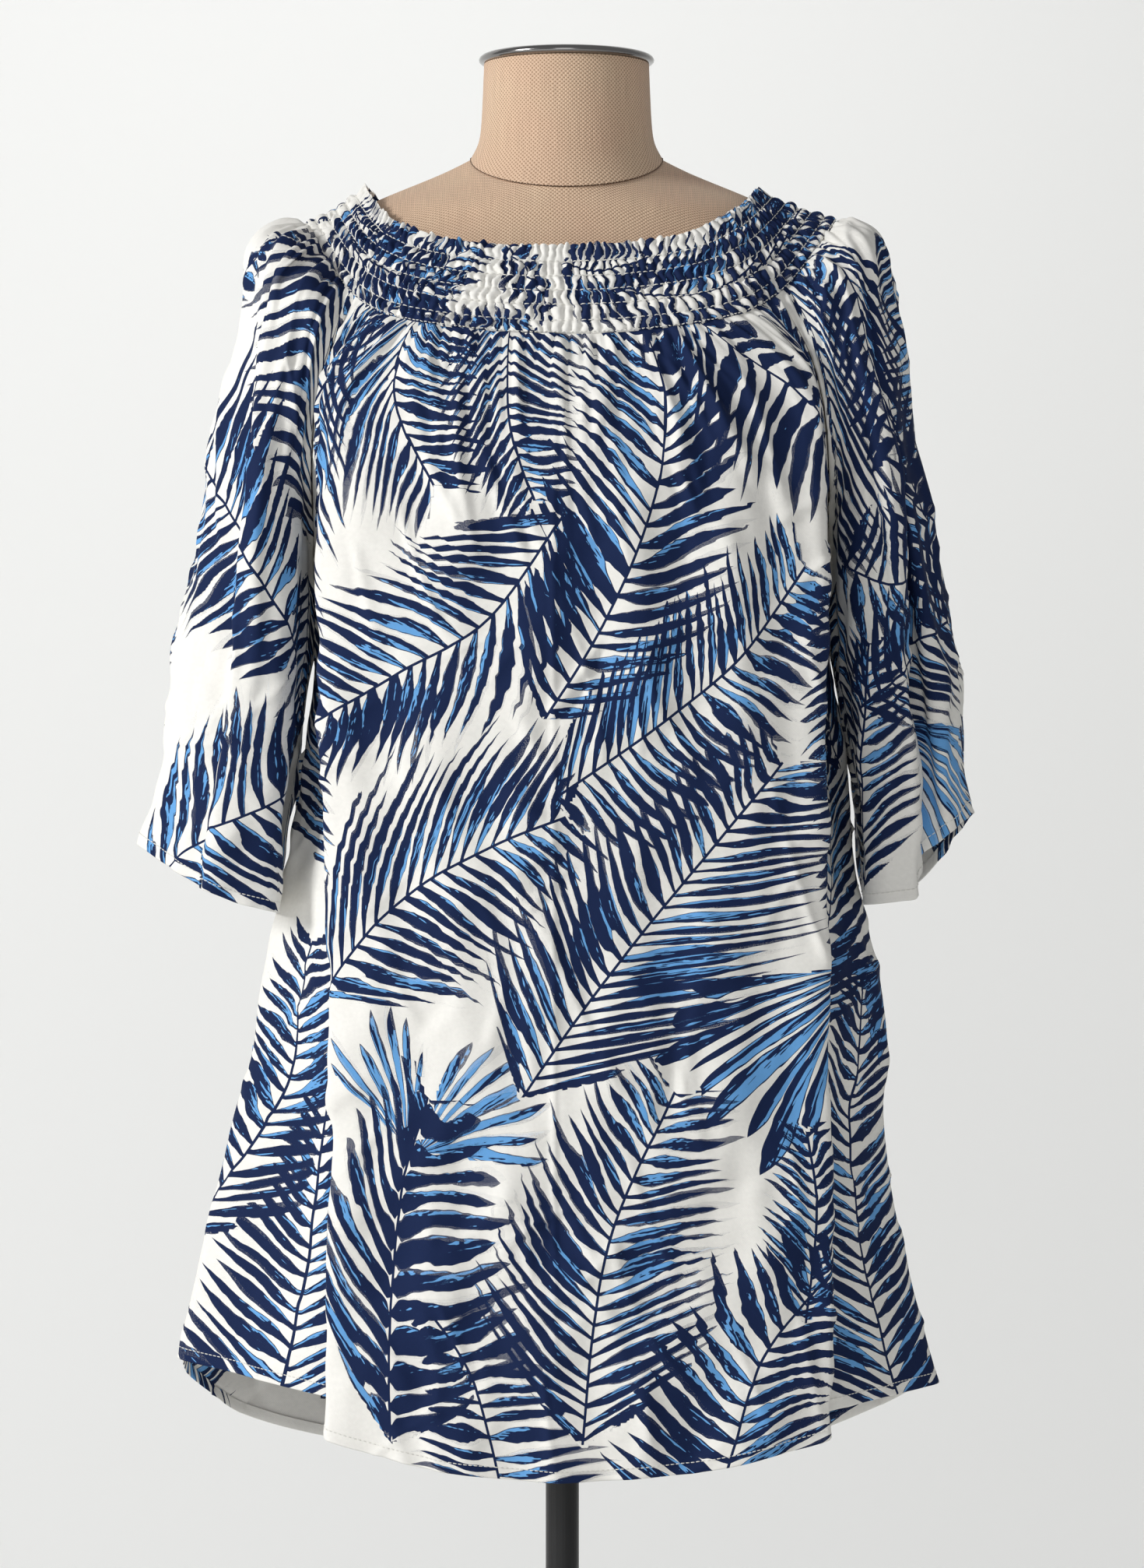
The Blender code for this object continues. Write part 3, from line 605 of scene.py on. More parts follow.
@dataclass(frozen=True)
class Frond:
    """Printed palm frond: a rib with leaflets on both sides, on the flat cloth."""

    rib: tuple[tuple[float, float], ...]
    left: float = 60.0  # longest leaflet to the left of the rib, looking along it, measured square to it
    right: float = 60.0
    spacing: float = 11.0
    sweep: tuple[float, float] = (0.6, 0.6)  # how far a leaflet on either side leans towards the tip
    curl: float = 0.002
    blueness: float = 0.32
    tip: LeafTip = LeafTip.POINTED

    def reach_box(self) -> tuple[float, float, float, float]:
        """Room that its leaflets can reach.

        Returns:
            The lowest and highest x, then y.
        """
        points = np.array(self.rib)
        room = max(self.left, self.right) * (1.2 + max(np.abs(self.sweep))) + 10
        low, high = points.min(0) - room, points.max(0) + room
        return low[0], high[0], low[1], high[1]

    def place_on(self, x: Array, y: Array) -> tuple[Array, Array, Array]:
        """Where points of the cloth lie on the frond.

        Args:
            x: places across the flat cloth.
            y: places up the flat cloth.

        Returns:
            The leaflet number, the share of the leaflet's length, and the signed distance from the rib.
        """
        knots = np.array(self.rib, float)
        line = spline(knots, np.linspace(0, len(knots) - 1, 26))
        nearest, along, beside = beside_line(line, x, y)
        away = np.abs(beside)
        root = along - np.where(beside > 0, *self.sweep) * away - self.curl * away**2
        part = root / run_length(line)[-1]
        envelope = np.sqrt(np.clip(part / 0.09, 0.0, 1.0)) * (1 - 0.62 * np.clip(part, 0, 1) ** 2.2)
        reach = np.where(beside > 0, self.left, self.right) * np.maximum(envelope, 0.02)
        share = np.where((part > 0) & (part < 1), away / reach, OFF_LEAF)
        return root / self.spacing, share, np.sign(beside) * nearest


@dataclass(frozen=True)
class Fan:
    """Printed fan leaf: leaflets that spread from one point."""

    centre: tuple[float, float]
    heading: float  # degrees, anticlockwise from the right
    spread: float = 110.0
    radius: float = 70.0
    ribs: int = 9
    blueness: float = 0.45
    tip: LeafTip = LeafTip.BLUNT

    def reach_box(self) -> tuple[float, float, float, float]:
        """Lowest and highest x and y that it can reach."""
        (x, y), room = self.centre, self.radius * 1.3
        return x - room, x + room, y - room, y + room

    def place_on(self, x: Array, y: Array) -> tuple[Array, Array, Array]:
        """Where points of the cloth lie on the fan.

        Args:
            x: places across the flat cloth.
            y: places up the flat cloth.

        Returns:
            The leaflet number, the share of its length, and a distance from the rib that is never small.
        """
        away_x, away_y = x - self.centre[0], y - self.centre[1]
        turn = np.degrees(np.arctan2(away_y, away_x)) - self.heading
        turn = (turn + 180) % 360 - 180
        part = turn / self.spread + 0.5
        radius = self.radius * (1 - 0.5 * np.abs(part - 0.5) ** 1.5)
        share = np.hypot(away_x, away_y) / radius
        share = np.where((part > 0) & (part < 1), share, OFF_LEAF)
        return part * self.ribs, share, np.full(x.shape, 50.0)


Leaf = Frond | Fan


class PrintLayers:
    """The layers that hold a panel's leaves, so that leaves beside each other don't wipe each other out."""

    def __init__(self, shape: tuple[int, ...]) -> None:
        """Start with bare cloth.

        Args:
            shape: rows and columns of the panel's points.
        """
        self.places = np.zeros((PRINT_LAYERS, *shape, 3))
        self.places[..., 1:] = OFF_LEAF, 10 * OFF_LEAF
        self.kinds = np.zeros((PRINT_LAYERS, *shape, 3))
        self.taken = np.zeros((PRINT_LAYERS, *shape), bool)

    def add(self, near: Array, found: tuple[Array, Array, Array], kind: Spot) -> None:
        """Write one leaf into the first layer that is free there, or the freest one.

        Args:
            near: the points that it may reach.
            found: leaflet number, share and rib distance at those points.
            kind: its seed, bluntness and blueness.
        """
        covered = np.zeros(near.shape, bool)
        covered[near] = found[1] < LEAF_END
        layer = int(np.argmin([int((taken & covered).sum()) for taken in self.taken]))
        target = near & ~self.taken[layer]
        for axis, values in enumerate(found):
            self.places[layer, target, axis] = values[target[near]]
        self.kinds[layer, target] = kind
        self.taken[layer] |= covered

    def attributes(self) -> dict[str, Array]:
        """The layers' vectors under the names that the cloth's material reads."""
        named = (("place", self.places), ("kind", self.kinds))
        return {f"leaf_{k}_{word}": values[k] for k in range(PRINT_LAYERS) for word, values in named}


@dataclass(frozen=True)
class PalmPrint:
    """The printed cloth: one repeat of palm leaves, and how it is laid on a panel."""

    leaves: tuple[Leaf, ...]
    repeat: tuple[float, float] = (620.0, 800.0)
    overlap: float = 0.4  # how far a leaf may run into its neighbour, as a share of its leaflets
    yielding: float = 1.8  # how fast a leaf shortens where it runs further into its neighbour
    facing: int = 1  # -1 where the cloth lies with its leaves leaning the other way

    def lay_on(self, x: Array, y: Array, shift: float = 0.0) -> dict[str, Array]:
        """Attributes that carry the print on a panel.

        Args:
            x: places across the flat cloth at each point of the panel.
            y: places up the flat cloth at each point.
            shift: how far across the repeat the panel was cut.

        Returns:
            A vector for each point under each attribute's name.
        """
        layers = PrintLayers(x.shape)
        closest = np.full(x.shape, OFF_LEAF)
        found = list(self._leaves_near(self.facing * x - shift, y))
        for _, _, near, (_, share, _) in found:
            closest[near] = np.minimum(closest[near], share)
        for seed, leaf, near, (number, share, rib) in found:
            share = share + self.yielding * np.maximum(0.0, share - closest[near] - self.overlap)
            layers.add(near, (number, share, rib), (seed * 3.7, leaf.tip.value, leaf.blueness))
        return layers.attributes()

    def _leaves_near(
        self, x: Array, y: Array
    ) -> Iterator[tuple[int, Leaf, Array, tuple[Array, Array, Array]]]:
        """Each leaf of each repeat that reaches the given places.

        Args:
            x: places across the repeats.
            y: places up the repeats.

        Yields:
            The leaf's number, the leaf, which places it may reach, and what it says of those.
        """
        wide, tall = self.repeat
        for seed, leaf in enumerate(self.leaves, 1):
            low_x, high_x, low_y, high_y = leaf.reach_box()
            columns = range(math.ceil((x.min() - high_x) / wide), math.floor((x.max() - low_x) / wide) + 1)
            rows = range(math.ceil((y.min() - high_y) / tall), math.floor((y.max() - low_y) / tall) + 1)
            for across, up in product(columns, rows):
                there_x, there_y = x - across * wide, y - up * tall
                near = (there_x > low_x) & (there_x < high_x) & (there_y > low_y) & (there_y < high_y)
                if near.any():
                    yield seed, leaf, near, leaf.place_on(there_x[near], there_y[near])


SMOCKED_LEAVES: tuple[Leaf, ...] = (
    Frond(((-370, 1372), (-260, 1382), (-140, 1376)), 62, 62, 14, (0.8, 0.5), blueness=0.3),
    Frond(((-235, 1325), (-175, 1385), (-125, 1445)), 60, 60, 11),
    Frond(((0, 1408), (50, 1400), (120, 1408)), 40, 60, 13, (0.3, 0.35), blueness=0.1),
    Frond(((-30, 1352), (-70, 1346), (-130, 1350)), 20, 30, 12, (0.5, 0.5), blueness=0.1),
    Frond(((-92, 1428), (-52, 1402), (-12, 1366)), 24, 34, 17, (0.3, 0.5), blueness=0.15),
    Frond(((60, 1382), (190, 1372), (330, 1388)), 60, 66, 16, (0.8, 0.6), blueness=0.2),
    Fan((-300, 1405), 15, 150, 66, 11, 0.6),
    Fan((300, 1420), 200, 130, 66, 9, 0.6),
)
BODY_LEAVES: tuple[Leaf, ...] = (
    # chest
    Frond(((-15, 1100), (25, 1165), (60, 1250), (70, 1310), (70, 1400)), 92, 68, 12.5),
    Frond(((0, 1235), (-50, 1165), (-110, 1130), (-170, 1095)), 70, 84, 12.5, (0.85, 0.6)),
    Frond(((-40, 1400), (-40, 1300), (-20, 1240)), 64, 50, 8.5, (0.45, 0.9)),
    Frond(((-140, 1400), (-120, 1310), (-85, 1250)), 66, 62, 10.5, (0.9, 1.2), 0.0),
    Frond(((75, 1405), (135, 1345), (205, 1265)), 40, 98, 13, (0.4, 0.3), blueness=0.15),
    Frond(((-10, 1050), (55, 1095), (110, 1140), (155, 1200)), 68, 78, 9.5, (0.9, 0.1), blueness=0.46),
    Frond(((-198, 1405), (-192, 1290), (-192, 1160)), 54, 10, 14, (1.4, 0.6), blueness=0.4),
    Frond(((-185, 1180), (-178, 1050), (-186, 900)), 30, 28, 9, blueness=0.3),
    Frond(((188, 1230), (182, 1080), (190, 900)), 28, 30, 9, blueness=0.3),
    # waist
    Frond(((-165, 925), (-110, 985), (-50, 1020), (0, 1040)), 80, 86, 11.5, (1.05, 0.45)),
    Frond(((-30, 860), (35, 950), (105, 1035), (140, 1075)), 82, 92, 10.5, (0.5, 0.95)),
    # skirt
    Frond(
        ((-117, 640), (-115, 745), (-108, 810), (-92, 862)),
        56, 98, 18, (1.35, 0.2), 0.001, 0.1, LeafTip.BLUNT,
    ),
    Fan((-106, 828), 106, 60, 92, 7, 0.85),
    Fan((-100, 826), 32, 78, 98, 7, 0.8),
    Frond(((10, 640), (25, 765), (68, 865)), 80, 80, 10.5, (0.65, 0.55)),
    Fan((192, 945), 226, 84, 152, 11, 0.55),
    Frond(((-40, 600), (-60, 680), (-88, 725)), 52, 76, 10.5, (0.45, -0.25), 0.001, 0.3),
    Frond(((84, 560), (104, 640), (125, 700), (175, 755)), 84, 62, 13, (0.4, 0.9), 0.001),
    Frond(((150, 715), (158, 780), (152, 840)), 38, 32, 9, (0.8, 0.8)),
    # towards the side seams
    Frond(((-250, 540), (-222, 690), (-215, 850)), 62, 58, 11.5, (0.8, 0.9)),
    Frond(((-285, 760), (-245, 860), (-230, 960)), 60, 62, 11),
    Frond(((-195, 1000), (-235, 1110), (-230, 1240)), 64, 60, 11),
    Frond(((-260, 1230), (-215, 1320), (-180, 1410)), 50, 56, 11),
    Frond(((260, 630), (245, 780), (260, 930)), 62, 62, 10.5, (0.7, 0.7)),
    Frond(((205, 900), (240, 1000), (235, 1110)), 60, 62, 10.5),
    Frond(((270, 1070), (225, 1170), (215, 1280)), 60, 60, 11),
    Frond(((225, 1240), (250, 1320), (255, 1400)), 54, 50, 11),
    Fan((300, 950), 250, 120, 84, 9, 0.55),
)
SLEEVE_LEAVES: dict[Side, tuple[Leaf, ...]] = {
    Side.LEFT: (
        Frond(((12, 1292), (62, 1252), (98, 1212), (140, 1145)), 92, 98, 12, (-0.5, -0.35), blueness=0.42),
        Frond(((178, 1455), (192, 1350), (194, 1215)), 30, 170, 15, (0.4, -0.5), blueness=0.15),
        Frond(((14, 1398), (40, 1424), (74, 1448)), 8, 20, 12, (0.3, 0.3), blueness=0.3),
        Frond(((92, 1440), (120, 1462), (150, 1475)), 34, 24, 10, (0.4, 0.4), blueness=0.3),
        Frond(((30, 1005), (65, 1033), (120, 1055), (190, 1090)), 92, 86, 12, (0.25, 0.55), blueness=0.4),
        Frond(((175, 1205), (160, 1140), (170, 1080)), 44, 46, 10),
        Frond(((-150, 1000), (-100, 1110), (-95, 1240)), 66, 66, 11.5),
        Frond(((-135, 1240), (-85, 1340), (-20, 1430)), 66, 50, 12),
        Frond(((-60, 1060), (-74, 1150), (-60, 1240)), 42, 36, 10.5),
        Frond(((-34, 1170), (-22, 1250), (-30, 1350)), 40, 34, 11.5),
        Frond(((-8, 1080), (-14, 1130), (2, 1180)), 34, 24, 11, (0.3, 0.6), blueness=0.3),
    ),
    Side.RIGHT: (
        Frond(((-140, 1470), (-110, 1400), (-100, 1290)), 84, 60, 13, (0.9, 0.8), blueness=0.25),
        Frond(((-15, 1460), (-10, 1390), (-30, 1285)), 46, 56, 9, (0.5, 0.5), blueness=0.5),
        Frond(((-160, 1215), (-110, 1205), (-55, 1230)), 84, 40, 12, (0.3, 0.4)),
        Frond(((-5, 1165), (-35, 1250), (-60, 1335)), 74, 74, 17, (0.7, 0.7), blueness=0.15),
        Frond(((-100, 1305), (-45, 1265), (35, 1230)), 74, 70, 17, (0.5, 0.5), blueness=0.15),
        Frond(((-140, 1120), (-80, 1165), (0, 1200)), 54, 60, 9.5, (0.5, 0.6), blueness=0.45),
        Fan((-86, 1122), -44, 88, 120, 10, 0.9),
        Frond(((-145, 1000), (-140, 1080), (-128, 1165)), 38, 46, 10, (0.8, 0.9)),
        Frond(((40, 1310), (75, 1180), (70, 1040)), 62, 60, 11.5),
        Frond(((10, 985), (22, 1050), (8, 1125)), 44, 50, 11, blueness=0.4),
        Frond(((155, 1290), (135, 1150), (160, 1010)), 60, 60, 11.5),
        Frond(((60, 1430), (90, 1365), (105, 1290)), 60, 60, 12),
        Frond(((-180, 1200), (-185, 1110), (-175, 1020)), 46, 44, 12),
        Frond(((-188, 1455), (-186, 1340), (-186, 1225)), 104, 10, 13.5, (0.9, 0.4), blueness=0.1),
    ),
}


# ---------------------------------------------------------------- cloth


@dataclass
class Cloth:
    """A sheet of cloth as a grid of points, rows down and columns anticlockwise from above."""

    points: Array
    x: Array  # place across the flat cloth at each point
    y: Array  # place up the flat cloth at each point
    tube_from: int | None = None  # row from which the last column lies on the first
    attributes: dict[str, Array] = field(default_factory=dict)

    def directions(self) -> Array:
        """Outward directions at the points, which a tube's first and last columns share.

        Returns:
            A vector of length 1 for each point.
        """
        down = np.gradient(self.points, axis=0)
        across = np.gradient(self.points, axis=1)
        if self.tube_from is not None:
            rows = slice(self.tube_from, None)
            joined = (self.points[rows, 1] - self.points[rows, -2]) / 2
            across[rows, 0] = joined
            across[rows, -1] = joined
        return unit(np.cross(down, across))

    def raise_by(self, height: Array) -> None:
        """Move the points outwards by a height in millimetres, one for each point."""
        self.points = self.points + self.directions() * height[..., None]

    def turn_in(self, depth: float, thickness: float) -> None:
        """Add the turned hem along the last row: a soft roll, and the allowance inside it.

        Args:
            depth: how far the allowance reaches back up.
            thickness: distance between the two layers.
        """
        outward = self.directions()[-1]
        last = self.points[-1]
        up = unit(self.points[-4] - last)
        rows = [
            last - up * 0.5 - outward * thickness * 0.5,
            last - outward * thickness,
            last + up * depth * 0.5 - outward * (thickness + 0.3),
            last + up * depth - outward * (thickness + 0.5),
        ]
        self.points = np.concatenate([self.points, np.stack(rows)])
        self.x = np.concatenate([self.x] + [self.x[-1:]] * 4)
        self.y = np.concatenate(
            [self.y, self.y[-1:] - 0.5, self.y[-1:] - 1, self.y[-1:] - depth / 2, self.y[-1:] - depth]
        )

    def at(self, row: Array, column: Array) -> tuple[Array, Array]:
        """Points and outward directions at row and column numbers, which may fall between two.

        Args:
            row: row numbers.
            column: column numbers.

        Returns:
            The points and the directions.
        """
        row = np.clip(row, 0, self.points.shape[0] - 1.001)
        column = np.clip(column, 0, self.points.shape[1] - 1.001)
        top, left = np.floor(row).astype(int), np.floor(column).astype(int)
        down, right = (row - top)[:, None], (column - left)[:, None]
        outward = self.directions()
        found = []
        for grid in (self.points, outward):
            upper = grid[top, left] * (1 - right) + grid[top, left + 1] * right
            lower = grid[top + 1, left] * (1 - right) + grid[top + 1, left + 1] * right
            found.append(upper * (1 - down) + lower * down)
        return found[0], unit(found[1])

    def to_object(self, name: str, material: bpy.types.Material) -> bpy.types.Object:
        """Mesh object of the sheet, with its attributes.

        Args:
            name: the object's name.
            material: the cloth's material.

        Returns:
            The object, in the scene.
        """
        rows, columns = self.points.shape[:2]
        numbers = np.arange(rows * columns).reshape(rows, columns)
        if self.tube_from is not None:
            numbers[self.tube_from :, -1] = numbers[self.tube_from :, 0]
        quads = np.stack([numbers[:-1, :-1], numbers[1:, :-1], numbers[1:, 1:], numbers[:-1, 1:]], axis=-1)
        piece = mesh_object(name, self.points.reshape(-1, 3), quads.reshape(-1, 4).tolist(), material)
        places = np.stack([self.x, self.y, np.zeros_like(self.x)], axis=-1)
        for label, vectors in {**self.attributes, "cloth_mm": places}.items():
            write_vectors(piece, label, vectors)
        if self.tube_from is not None:
            drop_loose(piece)
        return piece


def mesh_object(
    name: str,
    points: Array,
    faces: Sequence[Sequence[int]],
    material: bpy.types.Material,
    edges: Sequence[tuple[int, int]] = (),
) -> bpy.types.Object:
    """Smooth-shaded mesh object from points in millimetres.

    Args:
        name: the object's name.
        points: one row for each vertex.
        faces: vertex numbers, one row for each face.
        material: its material.
        edges: pairs of vertices, where there are no faces yet.

    Returns:
        The object, linked to the scene.
    """
    mesh = bpy.data.meshes.new(name)
    mesh.from_pydata((points * MM).tolist(), edges, faces)
    mesh.materials.append(material)
    mesh.shade_smooth()
    piece = bpy.data.objects.new(name, mesh)
    bpy.context.scene.collection.objects.link(piece)
    return piece


def write_vectors(piece: bpy.types.Object, label: str, vectors: Array) -> None:
    """Give each vertex of a piece a vector under the given name."""
    layer = piece.data.attributes.new(label, "FLOAT_VECTOR", "POINT")
    layer.data.foreach_set("vector", vectors.astype(np.float32).ravel())


def settle(piece: bpy.types.Object, node: str | None = None) -> None:
    """Let a piece ride on the body, instead of a solid where one is named.

    Args:
        piece: the piece.
        node: the solid that it stands for, if any.
    """
    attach(piece, "root")
    if node is not None:
        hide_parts(node)


def drop_loose(piece: bpy.types.Object) -> None:
    """Remove vertices that no face uses, as where a tube's last column lies on its first.

    Args:
        piece: the mesh object.
    """
    solid = bmesh.new()
    solid.from_mesh(piece.data)
    loose = [vertex for vertex in solid.verts if not vertex.link_faces]
    bmesh.ops.delete(solid, geom=loose, context="VERTS")
    solid.to_mesh(piece.data)
    solid.free()


def add_stitches(
    name: str,
    starts: Array,
    ends: Array,
    outward: Array,
    material: bpy.types.Material,
    radius: float = 0.33,
    rise: float = 0.25,
) -> bpy.types.Object:
    """One mesh of small bowed stitches.

    Args:
        name: the object's name.
        starts: where each stitch leaves the cloth.
        ends: where it goes back in.
        outward: outward direction at each stitch.
        material: the thread.
        radius: half of the thread's thickness.
        rise: how far the middle of a stitch stands off the cloth.

    Returns:
        The object.
    """
    # share of the length, thickness and rise of each ring
    bow = ((0.0, 0.45, -0.2), (0.18, 1.0, 0.5), (0.5, 1.05, 1.0), (0.82, 1.0, 0.5), (1.0, 0.45, -0.2))
    corners = 5
    along = unit(ends - starts)
    beside = unit(np.cross(along, outward))
    rings = []
    for part, size, lift in bow:
        centre = starts + (ends - starts) * part + outward * (rise * lift + radius * 0.3)
        for corner in range(corners):
            angle = 2 * math.pi * corner / corners
            rings.append(centre + (beside * math.cos(angle) + outward * math.sin(angle)) * radius * size)
    points = np.stack(rings, axis=1)
    numbers = np.arange(len(rings)).reshape(len(bow), corners)
    ahead = np.roll(numbers, -1, axis=1)
    faces = np.stack([numbers[:-1], ahead[:-1], ahead[1:], numbers[1:]], axis=-1).reshape(-1, 4)
    every = faces[None] + (np.arange(len(starts)) * len(rings))[:, None, None]
    return mesh_object(name, points.reshape(-1, 3), every.reshape(-1, 4).tolist(), material)


# ---------------------------------------------------------------- pattern tables


class Station(NamedTuple):
    """Place round the smocked yoke: its neck edge, its lower seam, and how far the band bulges."""

    neck: Spot
    seam: Spot
    crown: float


class Seam(NamedTuple):
    """Where front and back meet the sleeves, then each other, at one height."""

    left: float
    right: float
    y_front: float
    y_back: float
    z_left: float
    z_right: float
    back_rise: float


class FrontRow(NamedTuple):
    """Front at one height: its nearly flat middle, its pressed edges and the tuck behind each."""

    z_centre: float
    z_edge: float
    y_centre: float
    y_edge: float
    edge_left: float
    edge_right: float
    tuck_in: float
    tuck_y: float


class BackRow(NamedTuple):
    """Back at one height."""

    z_centre: float
    y_centre: float


class SleeveRow(NamedTuple):
    """Sleeve at one height: its outer fold, inner side, front corner, half depth and front dent."""

    z_out: float
    z_in: float
    inner: float
    corner: float
    corner_y: float
    outer: float
    depth: float
    dent: float


STATIONS = (
    Station((-2, -86, 1408), (-3, -110, 1349), 2.5),
    Station((66, -79, 1414), (88, -102, 1357), 2.5),
    Station((106, -53, 1433), (137, -73, 1378), 2.0),
    Station((126, 3, 1454), (178, 0, 1433), -2.5),
    Station((105, 61, 1440), (139, 82, 1386), 2.0),
    Station((61, 85, 1429), (86, 105, 1372), 2.5),
    Station((-2, 93, 1425), (-2, 113, 1366), 2.5),
    Station((-64, 85, 1429), (-88, 105, 1372), 2.5),
    Station((-109, 61, 1440), (-139, 82, 1385), 2.0),
    Station((-132, 3, 1456), (-172, 0, 1431), -2.5),
    Station((-112, -52, 1428), (-137, -73, 1377), 2.0),
    Station((-70, -79, 1412), (-93, -101, 1357), 2.5),
)
SEAMS = (
    Seam(137, 137, -73, 82, 1377, 1378, 8),
    Seam(153, 157, -75, 82, 1340, 1341, 8),
    Seam(163, 167, -70, 78, 1303, 1304, 6),
    Seam(166, 171, -52, 58, 1262, 1262, 3),
    Seam(167, 173, 2, 2, 1214, 1214, 0),
    Seam(166, 173, 2, 2, 1150, 1150, 0),
    Seam(172, 184, 2, 2, 1080, 1080, 0),
    Seam(184, 190, 2, 2, 1005, 1005, 0),
    Seam(200, 206, 2, 2, 930, 930, 0),
    Seam(206, 210, 2, 2, 882, 882, 0),
    Seam(217, 208, 2, 2, 843, 843, 0),
    Seam(229, 214, 2, 2, 788, 788, 0),
    Seam(242, 227, 2, 2, 733, 727, 0),
    Seam(253.5, 243, 2, 2, 683.5, 666.5, 0),
)
YOKE_SPANS = {  # stations at the ends of each piece
    "yoke_front": (-2.0, 2.0),
    "yoke_shoulder_right": (2.0, 4.0),
    "yoke_back": (4.0, 8.0),
    "yoke_shoulder_left": (8.0, 10.0),
}
UNDERARM_ROW = 4
FRONT_ROWS = (
    FrontRow(1349, 1363, -110, -94, 112, 110, -10, -84),
    FrontRow(1308, 1322, -120, -97, 143, 146, -6, -87),
    FrontRow(1265, 1276, -130, -101, 151, 155, -7, -86),
    FrontRow(1228, 1240, -135, -104, 156, 161, 0, -80),
    FrontRow(1193, 1198, -137, -107, 158, 164, 4, -68),
    FrontRow(1150, 1150, -138, -110, 157.5, 163.5, 5, -72),
    FrontRow(1080, 1080, -138, -112, 155.5, 163.5, 8, -74),
    FrontRow(1005, 1005, -138, -113, 154, 165.3, 8, -76),
    FrontRow(930, 930, -138, -114, 153, 165.7, 8, -78),
    FrontRow(882, 882, -138, -114, 151, 166.5, 8, -78),
    FrontRow(843, 843, -138, -114, 148.5, 167, 9, -76),
    FrontRow(788, 788, -139, -115, 150.5, 168, 8, -80),
    FrontRow(722, 725, -139, -116, 152.5, 169, 7, -82),
    FrontRow(618, 642, -140, -118, 150, 167.5, 5, -86),
)
BACK_ROWS = (
    BackRow(1366, 112),
    BackRow(1324, 115),
    BackRow(1282, 116),
    BackRow(1240, 116),
    BackRow(1198, 116),
    BackRow(1150, 116),
    BackRow(1080, 117),
    BackRow(1005, 119),
    BackRow(930, 122),
    BackRow(882, 124),
    BackRow(843, 125),
    BackRow(785, 127),
    BackRow(712, 129),
    BackRow(603, 132),
)
SLEEVE_ROWS = {
    Side.LEFT: (
        SleeveRow(1431, 1377, 137, 150, -76, 172, 60, 0),
        SleeveRow(1419, 1340, 153, 162, -79, 203.5, 72, 0),
        SleeveRow(1372, 1303, 163, 171, -79, 213.5, 78, 3),
        SleeveRow(1294, 1262, 166, 178, -74, 230.5, 80, 5),
        SleeveRow(1198, 1214, 167, 178, -66, 250, 80, 6),
        SleeveRow(1150, 1150, 174, 176, -62, 258, 78, 6),
        SleeveRow(1092, 1090, 184, 181, -60, 264.6, 75, 6),
        SleeveRow(1053, 1040, 192, 185, -57, 271.5, 71, 6),
        SleeveRow(1021, 978, 200, 190, -54, 281.7, 67, 5),
    ),
    Side.RIGHT: (
        SleeveRow(1433, 1378, 137, 150, -76, 178, 60, 0),
        SleeveRow(1421, 1341, 157, 166, -79, 205, 72, 0),
        SleeveRow(1374, 1304, 167, 176, -79, 216.5, 78, 4),
        SleeveRow(1289, 1262, 171, 184, -74, 230, 80, 11),
        SleeveRow(1190, 1214, 173, 186, -66, 249, 80, 20),
        SleeveRow(1150, 1150, 181, 185, -62, 255.5, 78, 25),
        SleeveRow(1094, 1090, 192, 190, -60, 262, 75, 27),
        SleeveRow(1064, 1044, 197, 192, -57, 264, 71, 27),
        SleeveRow(1041, 983, 202, 196.5, -54, 268, 67, 24),
    ),
}
CUFF_LIFT = {
    Side.LEFT: (0.0, 0.15, 0.32, 0.37, 0.66, 1.0, 0.30, 0.0),
    Side.RIGHT: (0.0, 0.04, 0.10, 0.52, 0.80, 1.0, 0.14, 0.0),
}
FRONT_COLUMNS = (1, 4, 3, 7, 8, 8, 7, 3, 4, 1)
BACK_COLUMNS = (2, 4, 5, 6, 6, 5, 4, 2)
SLEEVE_COLUMNS = (4, 2, 1, 2, 2, 4, 6, 3, 4)
BODY_SPANS = (18, 18, 20, 24, 26, 30, 32, 32, 20, 17, 24, 28, 42)
SLEEVE_SPANS = (18, 18, 20, 24, 26, 26, 22, 24)


# ---------------------------------------------------------------- relief


class Gather(NamedTuple):
    """One gather that hangs from the yoke's seam."""

    start: float  # share of the way across the panel's top
    drift: float  # how far it moves sideways on its way down
    length: float
    width: float
    height: float


class Crease(NamedTuple):
    """One crease or fold across the flat cloth, through the given points."""

    line: tuple[tuple[float, float], ...]
    width: float
    height: float


def gathers_relief(below: Array, round_seam: Array, pitch: float, seed: int) -> tuple[Array, Array]:
    """Gathers below the yoke's seam, which run out at uneven lengths.

    Args:
        below: distance of each point below the seam.
        round_seam: distance of each column along the seam.
        pitch: spacing of the gathers.
        seed: which pattern.

    Returns:
        Heights at the points, and how far the cloth's own places move sideways into the folds.
    """
    shortest, longest = 18.0, 93.0
    lowest, highest = 2.4, 5.0
    hidden_share = 0.7  # of the cloth's width that a full gather folds away
    warp = 3.0 * soft_noise(round_seam[None, :], below * 0.3, 34.0, seed)
    phase = (round_seam[None, :] + warp) / pitch
    item = np.floor(phase)
    ridge = np.abs(np.sin(math.pi * phase)) ** 0.7
    length = shortest + (longest - shortest) * per_item(item, seed) ** 2
    height = lowest + (highest - lowest) * per_item(item, seed + 5)
    fade = np.exp(-((below / length) ** 1.4))
    hidden = (phase - item - 0.5) * hidden_share * pitch * fade
    return ridge * height * fade * smooth(below, -1.0, 6.0), hidden


